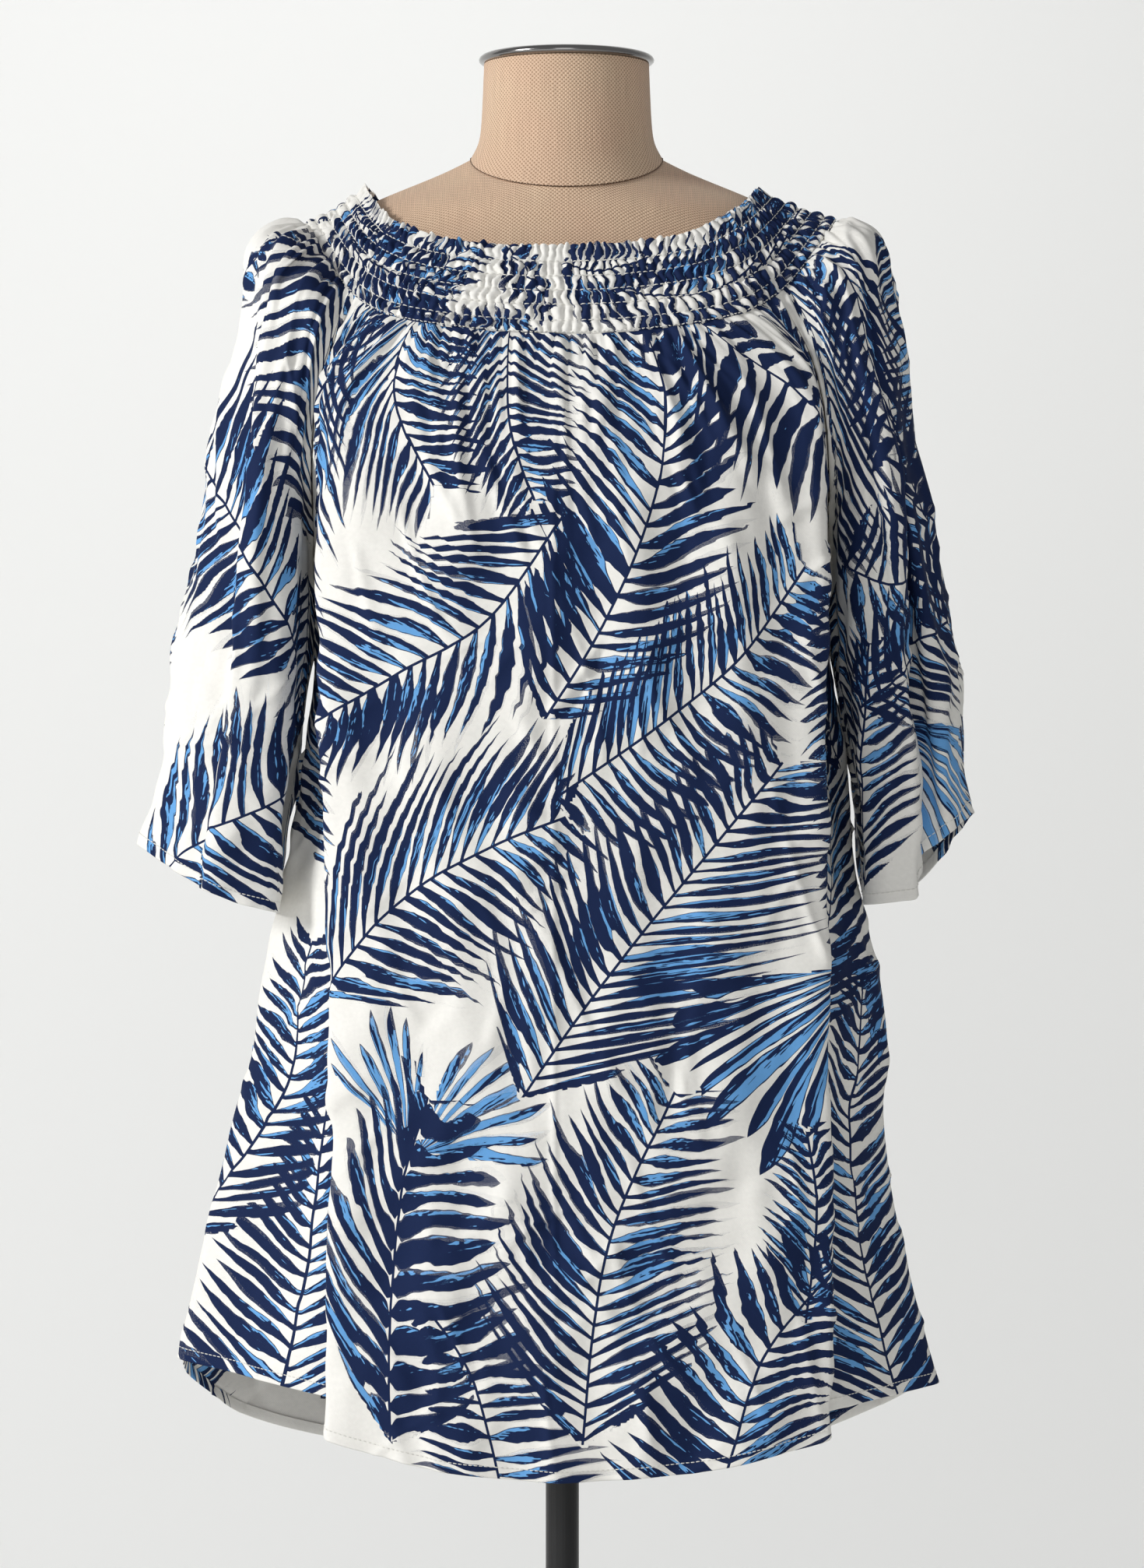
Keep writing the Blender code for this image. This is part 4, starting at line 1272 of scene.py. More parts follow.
def hanging_relief(cloth: Cloth, below: Array, share: Array, gathers: Sequence[Gather]) -> Array:
    """Long gathers from a table.

    Args:
        cloth: the panel.
        below: distance of each point below the seam.
        share: place of each column across the top, from 0 to 1.
        gathers: the table.

    Returns:
        Heights at the points.
    """
    total = np.zeros(below.shape)
    for gather in gathers:
        start = np.interp(gather.start, share, cloth.x[0])
        centre = start + gather.drift * np.clip(below / gather.length, 0, 1.2)
        spread = gather.width * (0.55 + 0.8 * np.clip(below / gather.length, 0, 1))
        away = (cloth.x - centre) / spread
        fade = smooth(below, 0.0, 16.0) * (1 - smooth(below, gather.length * 0.45, gather.length))
        total += gather.height * np.exp(-away * away) * fade
    return total


def crease_relief(cloth: Cloth, creases: Sequence[Crease]) -> Array:
    """Creases from a table, which fade towards their ends.

    Args:
        cloth: the panel.
        creases: the table.

    Returns:
        Heights at the points.
    """
    total = np.zeros(cloth.x.shape)
    for crease in creases:
        knots = np.array(crease.line, float)
        line = spline(knots, np.linspace(0, len(knots) - 1, 14))
        nearest, along, _ = beside_line(line, cloth.x, cloth.y)
        share = along / run_length(line)[-1]
        fade = smooth(share, 0.0, 0.25) * (1 - smooth(share, 0.72, 1.0))
        total += crease.height * np.exp(-((nearest / crease.width) ** 2)) * fade
    return total


def rumple_relief(cloth: Cloth, seed: int) -> Array:
    """Sharp small wrinkles of cloth that has been packed flat, in patches.

    Args:
        cloth: the panel.
        seed: which pattern.

    Returns:
        Heights at the points.
    """
    gain, patch_size = 1.6, 110.0
    total = np.zeros(cloth.x.shape)
    for turn, size, height in ((0.5, 70.0, 1.5), (-0.8, 52.0, 1.2), (0.1, 90.0, 1.3)):
        number = seed + int(size)
        x = cloth.x * math.cos(turn) + cloth.y * math.sin(turn)
        y = cloth.y * math.cos(turn) - cloth.x * math.sin(turn)
        ridge = np.exp(-((soft_noise(x, y * 0.35, size, number) / 0.2) ** 2))
        total += gain * height * ridge * smooth(soft_noise(x, y, patch_size, number + 50), -0.3, 0.7)
    return total


# ---------------------------------------------------------------- yoke


@dataclass
class SmockedYoke:
    """Wide band of elastic smocking round the neck, in four pieces, with a ruffled neck edge."""

    stations: tuple[Station, ...] = STATIONS
    stitch_rows: tuple[float, ...] = (0.2, 0.37, 0.53, 0.69, 0.86)
    tuck_pitch: float = 5.9
    puff_height: float = 2.9
    row_height: float = 0.5
    ruffle_height: float = 3.0
    fullness: float = 2.0  # length of the flat cloth over that of the gathered band
    jag_height: float = 2.6  # how far the ruffle's edge rises and falls
    band_height: float = 80.0
    flat_height: float = 76.0  # of the flat cloth, above the height of the centre of the seam
    seam_level: float = 1349.0
    stitch_share: float = 0.72  # length of an elastic stitch over its spacing
    column_step: float = 0.78
    line_count: int = 92

    def surface(self, station: Array, down: Array) -> tuple[Array, Array]:
        """Points and outward directions of the plain band.

        Args:
            station: station numbers round the ring.
            down: shares of the way from the neck edge to the seam.

        Returns:
            Points and directions, with a row for each share and a column for each station.
        """
        necks = np.array([row.neck for row in self.stations], float)
        seams = np.array([row.seam for row in self.stations], float)
        crowns = np.array([[row.crown] for row in self.stations], float)
        neck = spline(necks, station, closed=True)
        seam = spline(seams, station, closed=True)
        along = spline(seams, station + 0.05, closed=True) - spline(seams, station - 0.05, closed=True)
        outward = unit(np.cross(seam - neck, along))
        crown = spline(crowns, station, closed=True)
        part = down[:, None, None]
        points = neck[None] * (1 - part) + seam[None] * part
        points = points + outward[None] * crown[None] * 4 * part * (1 - part)
        return points, np.broadcast_to(outward[None], points.shape)

    def distances(self, station: Array) -> Array:
        """Distances round the middle of the band.

        Args:
            station: station numbers round the ring.

        Returns:
            The distance of each from the centre front.
        """
        middle = 0.6
        fine = np.arange(-2.0, len(self.stations) + 0.001, 0.02)
        line, _ = self.surface(fine, np.array([middle]))
        passed = run_length(line[0])
        return np.interp(station, fine, passed) - np.interp(0.0, fine, passed)

    def piece(self, name: str, seed: int) -> tuple[Cloth, Array]:
        """One smocked piece between its two stations.

        Args:
            name: the piece's name.
            seed: which unevenness.

        Returns:
            The cloth, and each column's distance round the band.
        """
        start, end = self.distances(np.array(YOKE_SPANS[name]))
        station = np.linspace(*YOKE_SPANS[name], int((end - start) / self.column_step) + 1)
        down = np.linspace(0.0, 1.0, self.line_count + 1)
        points, outward = self.surface(station, down)
        reach = self.distances(station)
        across = np.broadcast_to(reach[None, :], points.shape[:2])
        depth = np.broadcast_to(down[:, None] * self.band_height, across.shape)
        # which tuck this is and how far across it, where the tucks wander by a millimetre or two
        warp = 1.5 * soft_noise(across, depth * 1.4, 26.0, seed)
        warp = warp + 0.5 * soft_noise(across, depth, 7.0, seed + 3)
        phase = (across + warp) / self.tuck_pitch
        item = np.floor(phase)
        inside = phase - item - 0.5
        # puffs between the rows of stitches, and the ruffle above them
        marks = np.array((-0.2,) + self.stitch_rows + (1.0,))
        band = np.clip(np.searchsorted(marks, down, side="right") - 1, 0, len(marks) - 2)
        part = (down - marks[band]) / (marks[band + 1] - marks[band])
        puff = np.sin(math.pi * np.clip(part, 0, 1))[:, None] ** 0.55
        ruffled = (down < self.stitch_rows[0])[:, None]
        edge = np.clip(1 - down / self.stitch_rows[0], 0, 1)[:, None]
        uneven = 0.55 + 0.75 * per_item(item + 31 * band[:, None], seed)
        ridge = np.abs(np.cos(math.pi * inside)) ** 0.7
        height = self.puff_height * puff * uneven * ridge + self.row_height * ridge
        frill = self.ruffle_height * (0.35 + 0.65 * edge) * uneven * (ridge - 0.25) + 0.8 * puff
        height = np.where(ruffled, frill, height)
        # flatter at the lower seam and at the ends
        height = height * smooth(np.broadcast_to(1 - down[:, None], height.shape), -0.004, 0.02)
        ends = np.minimum(across - reach[0], reach[-1] - across)
        height = height * (0.25 + 0.75 * smooth(ends, 0.0, 3.0))
        points = points + outward * height[..., None]
        jag = edge * self.jag_height * (per_item(item, seed + 9) - 0.4) * np.cos(math.pi * inside)
        points[..., 2] += np.where(ruffled, jag, 0.0)
        flat_x = self.fullness * self.tuck_pitch * (item + 0.5) + 1.25 * self.tuck_pitch * inside
        flat_y = np.broadcast_to(self.seam_level + (1 - down[:, None]) * self.flat_height, across.shape)
        return Cloth(points, flat_x, flat_y), reach

    def stitch_places(self, reach: Array, spacing: float) -> tuple[Array, Array]:
        """Places of the stitches of a row.

        Args:
            reach: each column's distance round the band.
            spacing: distance between stitches.

        Returns:
            The column numbers where they start and where they end.
        """
        length = spacing * self.stitch_share
        places = np.arange(reach[0] + 1.0, reach[-1] - length - 0.5, spacing)
        numbers = np.arange(len(reach))
        return np.interp(places, reach, numbers), np.interp(places + length, reach, numbers)


# ---------------------------------------------------------------- body


@dataclass
class PatternBlock:
    """Guide rows of the body and the sleeves, from the tables above."""

    seams: tuple[Seam, ...] = SEAMS
    centre_x: float = -2.0
    armhole_share: float = 0.4  # where a point stands from the seam to the tuck, above the underarm
    side_share: float = 0.12  # the same below the underarm
    side_gap: float = 0.6
    middle_share: float = 0.52  # where a point stands from the centre to the pressed edge
    back_angles: tuple[float, ...] = (0, 9, 33, 60)  # degrees from the side seam
    hem_rows: int = 3  # rows of the back whose height follows the hem

    def seam_point(self, row: int, side: Side, front: bool) -> Array:
        """Point of the raglan or side seam.

        Args:
            row: which height.
            side: which side of the tunic.
            front: whether it is on the front or on the back.

        Returns:
            The point.
        """
        seam = self.seams[row]
        reach = seam.left if side is Side.LEFT else seam.right
        height = seam.z_left if side is Side.LEFT else seam.z_right
        if front:
            return np.array([side.value * reach, seam.y_front, height], float)
        return np.array([side.value * reach, seam.y_back, height + seam.back_rise], float)

    def half_front(self, row: int, side: Side) -> list[Array]:
        """Guide points of one half of the front.

        Args:
            row: which height.
            side: which half.

        Returns:
            The points from the seam towards the centre.
        """
        spec = FRONT_ROWS[row]
        seam = self.seam_point(row, side, True)
        edge_x = spec.edge_left if side is Side.LEFT else spec.edge_right
        edge = np.array([side.value * edge_x, spec.y_edge, spec.z_edge], float)
        tuck = np.array([side.value * (edge_x - spec.tuck_in), spec.tuck_y, (spec.z_edge + seam[2]) / 2])
        share = self.armhole_share if row < UNDERARM_ROW else self.side_share
        beside = seam * (1 - share) + tuck * share
        if row >= UNDERARM_ROW:
            beside[0] = seam[0] - side.value * self.side_gap
        drop = spec.z_edge - spec.z_centre
        bend = spec.y_centre - spec.y_edge
        middle_x = side.value * edge_x * self.middle_share
        middle = np.array([middle_x, spec.y_centre - 0.24 * bend, spec.z_centre + 0.26 * drop])
        return [seam, beside, tuck, edge, middle]

    def front(self) -> Array:
        """Guide points of the front.

        Returns:
            A row for each height, from left to right.
        """
        rows = []
        for row, spec in enumerate(FRONT_ROWS):
            centre = np.array([self.centre_x, spec.y_centre, spec.z_centre])
            rows.append(self.half_front(row, Side.LEFT) + [centre] + self.half_front(row, Side.RIGHT)[::-1])
        return np.array(rows)

    def half_back(self, row: int, side: Side) -> list[Array]:
        """Guide points of one half of the back.

        Args:
            row: which height.
            side: which half.

        Returns:
            The points from the seam towards the centre.
        """
        spec = BACK_ROWS[row]
        seam = self.seam_point(row, side, False)
        half = []
        for degrees in self.back_angles:
            angle = math.radians(degrees)
            bulge = math.sin(angle) ** 0.85
            drop = math.cos(angle) ** 1.6
            if row >= len(BACK_ROWS) - self.hem_rows:
                drop = math.cos(angle) ** 3 if side is Side.RIGHT else 1 - bulge
            x = seam[0] * math.cos(angle) ** 0.8
            y = seam[1] + (spec.y_centre - seam[1]) * bulge
            half.append(np.array([x, y, spec.z_centre + (seam[2] - spec.z_centre) * drop]))
        return half

    def back(self) -> Array:
        """Guide points of the back.

        Returns:
            A row for each height, from right to left.
        """
        rows = []
        for row, spec in enumerate(BACK_ROWS):
            centre = np.array([self.centre_x, spec.y_centre, spec.z_centre])
            rows.append(self.half_back(row, Side.RIGHT) + [centre] + self.half_back(row, Side.LEFT)[::-1])
        return np.array(rows)

    def sleeve(self, side: Side) -> Array:
        """Guide points of a sleeve.

        Args:
            side: which sleeve.

        Returns:
            A row for each height, from the front of its inner side round to the back of it.
        """
        rows = []
        total = sum(SLEEVE_COLUMNS)
        for row, spec in enumerate(SLEEVE_ROWS[side]):
            if row < UNDERARM_ROW:
                start = self.seam_point(row, side, True)
                end = self.seam_point(row, side, False)
            else:
                start = np.array([side.value * spec.inner, 2.0, spec.z_in])
                end = start.copy()
            wide, deep = spec.outer - spec.corner, spec.depth
            shape = (
                (0.0, spec.corner_y),
                (0.28, -deep),
                (0.47, -0.95 * deep),
                (0.49, -0.88 * deep + spec.dent),
                (0.76, -0.64 * deep),
                (1.0, 0.0),
                (0.5, 0.95 * deep),
                (0.02, -0.92 * spec.corner_y),
            )
            points = [start]
            passed = 0
            for (across, y), count, lift in zip(shape, SLEEVE_COLUMNS, CUFF_LIFT[side]):
                passed += count
                share = passed / total
                if row <= UNDERARM_ROW:
                    lift = math.sin(math.pi * min(share / 0.54, 1.0, (1 - share) / 0.46) / 2)
                ends = start[2] * (1 - share) + end[2] * share
                height = ends + (spec.z_out - ends) * lift
                points.append(np.array([side.value * (spec.corner + wide * across), y, height]))
            rows.append(points + [end])
        return np.array(rows)


def lay_panel(
    guides: Array,
    columns: Sequence[int],
    density: int,
    spans: Sequence[int],
    top_edge: Array,
    tension: float,
) -> Array:
    """Fine grid of a panel through its guide rows, hung on the yoke's seam.

    Args:
        guides: a row of guide points for each height.
        columns: relative width of the spans between guide points.
        density: how many times finer the grid is than those widths.
        spans: number of grid rows between guide rows.
        top_edge: points along the yoke's seam, as many as the grid has columns.
        tension: tension of the curves across.

    Returns:
        The grid.
    """
    across = places_in_spans([count * density for count in columns])
    lines = [top_edge] + [spline(row, across, tension) for row in guides[1:]]
    return spline(np.stack(lines), places_in_spans(spans))


@dataclass
class Tunic:
    """The whole garment: smocked yoke, front, back and two sleeves, with their stitching."""

    cloth_finish: bpy.types.Material
    thread_finish: bpy.types.Material
    prints: dict[str, PalmPrint]
    yoke: SmockedYoke = field(default_factory=SmockedYoke)
    block: PatternBlock = field(default_factory=PatternBlock)
    front_density: int = 5
    back_density: int = 6
    sleeve_density: int = 6
    hem_depth: float = 7.0
    hem_gap: float = 0.8
    hem_stitch_height: float = 6.5
    stitch_spacing: float = 3.3
    stitch_length: float = 2.5
    elastic_spacing: float = 4.4
    seam_spacing: float = 2.6
    gather_pitch: float = 8.0
    gather_gain: float = 1.4  # what the heights of the table of gathers are multiplied by
    crease_gain: float = 1.5
    swell: float = 2.4  # height of the broad unevenness
    ripple: float = 0.7  # height of the finer unevenness
    seam_dip: float = 0.5
    sleeve_lean: float = 6.5  # how far the inner side of each sleeve swells towards the body
    underarm_height: float = 1214.0
    sleeve_level: int = 40  # the row below the underarm at which the sleeve's girth is measured

    def top_edge(self, piece: str, columns: Sequence[int], density: int) -> Array:
        """Points along the seam of a yoke piece, for a panel of so many columns."""
        station = np.linspace(*YOKE_SPANS[piece], sum(columns) * density + 1)
        return self.yoke.surface(station, np.array([1.0]))[0][0]

    def panels(self) -> dict[str, Cloth]:
        """Plain sheets of the front, the back and the sleeves, which meet at their seams.

        Returns:
            The sheets by the names of their solids.
        """
        grids = {}
        for name, piece, guides, columns, spans, density, tension in (
            ("front", "yoke_front", self.block.front(), FRONT_COLUMNS, BODY_SPANS, self.front_density, 0.3),
            ("back", "yoke_back", self.block.back(), BACK_COLUMNS, BODY_SPANS, self.back_density, 0.4),
            (
                "right", "yoke_shoulder_right", self.block.sleeve(Side.RIGHT),
                SLEEVE_COLUMNS, SLEEVE_SPANS, self.sleeve_density, 0.4,
            ),
            (
                "left", "yoke_shoulder_left", self.block.sleeve(Side.LEFT)[:, ::-1],
                SLEEVE_COLUMNS[::-1], SLEEVE_SPANS, self.sleeve_density, 0.4,
            ),
        ):
            edge = self.top_edge(piece, columns, density)
            grids[name] = lay_panel(guides, columns, density, spans, edge, tension)
        front, back, right, left = grids.values()
        tube = sum(SLEEVE_SPANS[:UNDERARM_ROW])
        right[:tube, 0], right[:tube, -1] = front[:tube, -1], back[:tube, 0]
        left[:tube, 0], left[:tube, -1] = back[:tube, -1], front[:tube, 0]
        right[tube:, -1] = right[tube:, 0]
        left[tube:, -1] = left[tube:, 0]
        back[tube:, 0], back[tube:, -1] = front[tube:, -1], front[tube:, 0]
        return {
            "front_panel": self.body_cloth(front),
            "back_panel": self.body_cloth(back),
            "sleeve_right": self.sleeve_cloth(right, tube),
            "sleeve_left": self.sleeve_cloth(left, tube),
        }

    @staticmethod
    def body_cloth(grid: Array) -> Cloth:
        """Front or back with its places on the flat cloth.

        Args:
            grid: the sheet's points.

        Returns:
            The cloth, with each place across from its centre, and its height.
        """
        level = sum(BODY_SPANS[: UNDERARM_ROW + 2])
        passed = run_length(grid[level])
        middle = np.interp(0.0, np.sign(grid[level, -1, 0]) * grid[level, :, 0], passed)
        across = passed - middle
        return Cloth(grid, np.broadcast_to(across, grid.shape[:2]).copy(), grid[..., 2].copy())

    def sleeve_cloth(self, grid: Array, tube: int) -> Cloth:
        """Sleeve with its places on the flat cloth.

        Args:
            grid: the sheet's points.
            tube: the row of the underarm, from which the sleeve is closed.

        Returns:
            The cloth, with each place round the sleeve, and along it from the underarm.
        """
        level = tube + self.sleeve_level
        passed = run_length(grid[level])
        outer = int(np.argmax(np.abs(grid[level, :, 0])))
        down = np.linalg.norm(np.diff(grid, axis=0), axis=2)
        along = np.concatenate([np.zeros((1, grid.shape[1])), np.cumsum(down, axis=0)])
        height = self.underarm_height + along[tube] - along
        across = np.broadcast_to(passed - passed[outer], grid.shape[:2]).copy()
        return Cloth(grid, across, height, tube_from=tube)

    def dress_yoke(self) -> None:
        """Build the four smocked pieces and their rows of elastic stitching."""
        shifts = {"yoke_shoulder_right": 60.0, "yoke_back": 300.0, "yoke_shoulder_left": 150.0}
        rows = [(row, self.elastic_spacing) for row in self.yoke.stitch_rows] + [(0.985, self.seam_spacing)]
        for seed, name in enumerate(YOKE_SPANS):
            cloth, reach = self.yoke.piece(name, 20 + seed)
            cloth.attributes = self.prints["yoke"].lay_on(cloth.x, cloth.y, shifts.get(name, 0.0))
            piece = cloth.to_object(name + "_cloth", self.cloth_finish)
            found = []
            for row, spacing in rows:
                begin, end = self.yoke.stitch_places(reach, spacing)
                level = np.full(len(begin), row * self.yoke.line_count)
                starts, outward = cloth.at(level, begin)
                found.append((starts, cloth.at(level, end)[0], outward))
            stitches = [np.concatenate(places) for places in zip(*found)]
            threads = add_stitches(name + "_elastic_stitches", *stitches, self.thread_finish, 0.36, 0.6)
            self.declare(piece, threads, name)

    def declare(self, piece: bpy.types.Object, threads: bpy.types.Object, node: str) -> None:
        """Tie a cloth piece and its stitches to the body and log their face counts.

        Args:
            piece: the cloth.
            threads: its stitches.
            node: the solid that the cloth stands for.
        """
        settle(piece, node)
        settle(threads)
        width, length, area = CUT_SIZES[node]
        counts = len(piece.data.polygons), len(threads.data.polygons)
        log.info("%s: %d faces, %d stitch faces", piece.name, *counts)

    def hem_stitches(self, cloth: Cloth) -> tuple[Array, Array, Array]:
        """Stitches along a hem.

        Args:
            cloth: the panel, before its hem is turned in.

        Returns:
            Starts, ends and outward directions.
        """
        rows_up = 4  # rows over which the height of the stitching is measured
        last = cloth.points.shape[0] - 1
        passed = run_length(cloth.points[last])
        up = np.linalg.norm(cloth.points[last - rows_up] - cloth.points[last], axis=1)
        row_of = last - rows_up * self.hem_stitch_height / np.maximum(up, 1.0)
        places = np.arange(1.0, passed[-1] - self.stitch_spacing, self.stitch_spacing)
        numbers = np.arange(cloth.points.shape[1])
        first = np.interp(places, passed, numbers)
        second = np.interp(places + self.stitch_length, passed, numbers)
        starts, outward = cloth.at(np.interp(first, numbers, row_of), first)
        ends, _ = cloth.at(np.interp(second, numbers, row_of), second)
        return starts, ends, outward

    def dress_panels(self) -> None:
        """Build the front, the back and the sleeves with their gathers, folds, hems and stitching."""
        for seed, (name, cloth) in enumerate(self.panels().items()):
            share = np.linspace(0, 1, cloth.points.shape[1])
            down = np.linalg.norm(np.diff(cloth.points, axis=0), axis=2)
            below = np.concatenate([np.zeros((1, len(share))), np.cumsum(down, axis=0)])
            round_seam = run_length(cloth.points[0])
            height, hidden = gathers_relief(below, round_seam, self.gather_pitch, 40 + seed)
            height += self.gather_gain * hanging_relief(cloth, below, share, GATHERS[name])
            height += self.crease_gain * crease_relief(cloth, CREASES[name])
            height += rumple_relief(cloth, 80 + seed)
            inner = np.minimum(np.abs(cloth.x - cloth.x[:, :1]), np.abs(cloth.x[:, -1:] - cloth.x))
            calm = smooth(below, 20.0, 120.0) * smooth(inner, 0.0, 45.0)
            height *= smooth(inner, 0.0, 6.0)
            height += self.swell * soft_noise(cloth.x, cloth.y * 0.4, 56.0, 60 + seed) * calm
            beside = smooth(inner, 0.0, 12.0)
            height += self.ripple * soft_noise(cloth.x, cloth.y * 0.6, 24.0, 70 + seed) * beside
            height -= self.seam_dip * np.exp(-((inner / 2.2) ** 2))
            if cloth.tube_from is not None:
                lean = smooth(cloth.y, 1030.0, 1110.0) * (1 - smooth(cloth.y, 1160.0, self.underarm_height))
                height += self.sleeve_lean * lean * np.exp(-((inner / 30.0) ** 2))
            cloth.raise_by(height)
            cloth.x = cloth.x + hidden
            stitches = self.hem_stitches(cloth)
            cloth.turn_in(self.hem_depth, self.hem_gap)
            cloth.attributes = self.prints[name].lay_on(cloth.x, cloth.y)
            piece = cloth.to_object(name + "_cloth", self.cloth_finish)
            threads = add_stitches(name + "_hem_stitches", *stitches, self.thread_finish)
            self.declare(piece, threads, name)


GATHERS: dict[str, tuple[Gather, ...]] = {
    "front_panel": (
        Gather(0.08, -8, 120, 5, 1.6),
        Gather(0.15, -14, 170, 6, 2.0),
        Gather(0.21, -10, 90, 4, 1.6),
        Gather(0.27, 8, 150, 5, 1.7),
        Gather(0.33, 20, 180, 5, 2.0),
        Gather(0.38, 4, 80, 4, 1.5),
        Gather(0.43, -3, 130, 4, 1.6),
        Gather(0.48, 3, 95, 4, 1.5),
        Gather(0.53, 6, 150, 5, 1.7),
        Gather(0.58, 10, 85, 4, 1.6),
        Gather(0.63, 22, 190, 5, 2.1),
        Gather(0.69, 30, 150, 5, 2.1),
        Gather(0.74, 34, 210, 6, 2.2),
        Gather(0.80, 24, 130, 5, 2.0),
        Gather(0.86, 12, 170, 6, 2.0),
        Gather(0.92, 6, 110, 5, 1.7),
    ),
    "back_panel": tuple(
        Gather(0.06 + 0.068 * k, 9 * math.sin(2.1 * k), 90 + 70 * abs(math.sin(1.3 * k)), 5, 1.8)
        for k in range(14)
    ),
    "sleeve_right": tuple(
        Gather(0.12 + 0.085 * k, 8 * math.sin(1.7 * k), 110 + 90 * abs(math.sin(1.1 * k)), 6, 2.4)
        for k in range(10)
    ),
    "sleeve_left": tuple(
        Gather(0.13 + 0.085 * k, 8 * math.sin(2.3 * k), 110 + 90 * abs(math.sin(1.6 * k)), 6, 2.4)
        for k in range(10)
    ),
}
CREASES: dict[str, tuple[Crease, ...]] = {
    "front_panel": (
        Crease(((-8, 1360), (-8, 1150), (-8, 900), (-7, 600)), 2.2, 0.9),
        Crease(((-150, 1149), (-60, 1150), (60, 1148), (150, 1150)), 2.0, 0.6),
        Crease(((-150, 837), (-40, 836), (60, 836), (150, 837)), 2.0, 0.5),
        Crease(((-57, 1282), (-42, 1240), (-20, 1193)), 4.0, 1.8),
        Crease(((31, 1163), (8, 1130), (-14, 1099)), 4.0, 1.6),
        Crease(((86, 1345), (105, 1300), (133, 1242)), 6.0, 2.2),
        Crease(((60, 1330), (78, 1290), (92, 1230)), 5.0, 1.8),
        Crease(((98, 1340), (122, 1290), (150, 1250)), 4.0, -1.8),
        Crease(((-130, 1354), (-110, 1318), (-82, 1296)), 2.8, 1.5),
        Crease(((-120, 1358), (-96, 1332), (-64, 1314)), 2.8, -1.4),
        Crease(((-106, 1352), (-90, 1302), (-82, 1258)), 3.0, 1.4),
        Crease(((-72, 1347), (-64, 1302), (-52, 1268)), 2.8, 1.3),
        Crease(((-50, 1344), (-52, 1300), (-44, 1262)), 2.8, -1.2),
        Crease(((12, 1342), (22, 1296), (18, 1262)), 2.8, 1.3),
        Crease(((44, 1344), (58, 1296), (74, 1262)), 2.8, -1.3),
        Crease(((70, 1348), (92, 1302), (104, 1262)), 2.8, 1.5),
        Crease(((112, 1354), (134, 1300), (146, 1246)), 3.0, 1.5),
        Crease(((20, 1320), (34, 1270), (30, 1200)), 4.0, 1.5),
        Crease(((-110, 1330), (-92, 1270), (-60, 1215)), 4.0, 1.6),
        Crease(((-56, 1282), (-30, 1230), (-18, 1194)), 2.4, -1.2),
        Crease(((30, 1162), (4, 1110), (-14, 1099)), 2.4, -1.2),
        Crease(((-140, 798), (-40, 800), (60, 796), (150, 800)), 2.4, 0.7),
        Crease(((-60, 1000), (-40, 940), (-56, 880)), 5.0, 1.4),
        Crease(((90, 960), (76, 880), (92, 800)), 6.0, 1.5),
        Crease(((-100, 740), (-84, 690), (-92, 640)), 6.0, 1.6),
        Crease(((40, 700), (50, 660), (44, 620)), 6.0, 1.6),
    ),
    "back_panel": (
        Crease(((-150, 1150), (-136, 940), (-146, 720)), 22.0, 4.5),
        Crease(((-70, 1050), (-84, 880), (-76, 700)), 20.0, -3.5),
        Crease(((8, 1180), (18, 980), (6, 760)), 22.0, 4.0),
        Crease(((82, 1000), (74, 860), (84, 700)), 20.0, -3.5),
        Crease(((150, 1120), (158, 930), (146, 760)), 22.0, 4.5),
        Crease(((0, 1360), (2, 1150), (0, 900), (1, 640)), 2.2, 0.8),
        Crease(((-140, 1149), (0, 1150), (140, 1149)), 2.0, 0.6),
        Crease(((-60, 1300), (-40, 1230), (-46, 1160)), 5.0, 1.8),
        Crease(((70, 1290), (48, 1220), (60, 1150)), 5.0, 1.7),
    ),
    "sleeve_right": (
        Crease(((-60, 1300), (-48, 1180), (-52, 1060)), 7.0, 2.0),
        Crease(((-86, 1400), (-74, 1250), (-62, 1100), (-58, 970)), 7.0, -5.0),
        Crease(((-104, 1400), (-94, 1240), (-84, 1120), (-82, 970)), 8.0, 3.2),
        Crease(((-128, 1390), (-118, 1260), (-112, 1120), (-116, 980)), 6.0, -3.2),
        Crease(((-30, 1330), (-22, 1200), (-30, 1060)), 6.0, 2.2),
        Crease(((40, 1300), (52, 1180), (46, 1050)), 7.0, 2.0),
    ),
    "sleeve_left": (
        Crease(((110, 1380), (100, 1250), (104, 1130)), 6.0, 2.4),
        Crease(((20, 1106), (70, 1100), (120, 1108)), 3.0, 1.4),
        Crease(((-6, 1340), (30, 1270), (36, 1200)), 6.0, 2.0),
        Crease(((-60, 1300), (-52, 1180), (-50, 1060)), 7.0, 2.0),
        Crease(((50, 1300), (40, 1180), (46, 1050)), 7.0, 2.0),
    ),
}
CUT_SIZES = {
    "front_panel": (0.66, 0.76, 0.41),
    "back_panel": (0.62, 0.76, 0.385),
    "sleeve_left": (0.40, 0.45, 0.15),
    "sleeve_right": (0.40, 0.45, 0.147),
    "yoke_front": (0.46, 0.085, 0.0235),
    "yoke_back": (0.46, 0.085, 0.023),
    "yoke_shoulder_left": (0.24, 0.085, 0.012),
    "yoke_shoulder_right": (0.24, 0.085, 0.013),
}


# ---------------------------------------------------------------- dress form and stand


class Ring(NamedTuple):
    """Ring of the form: its height and reaches, how its plane tilts, and how square it is."""

    z: float
    half_width: float
    front: float
    back: float
    front_drop: float
    back_rise: float
    square: float


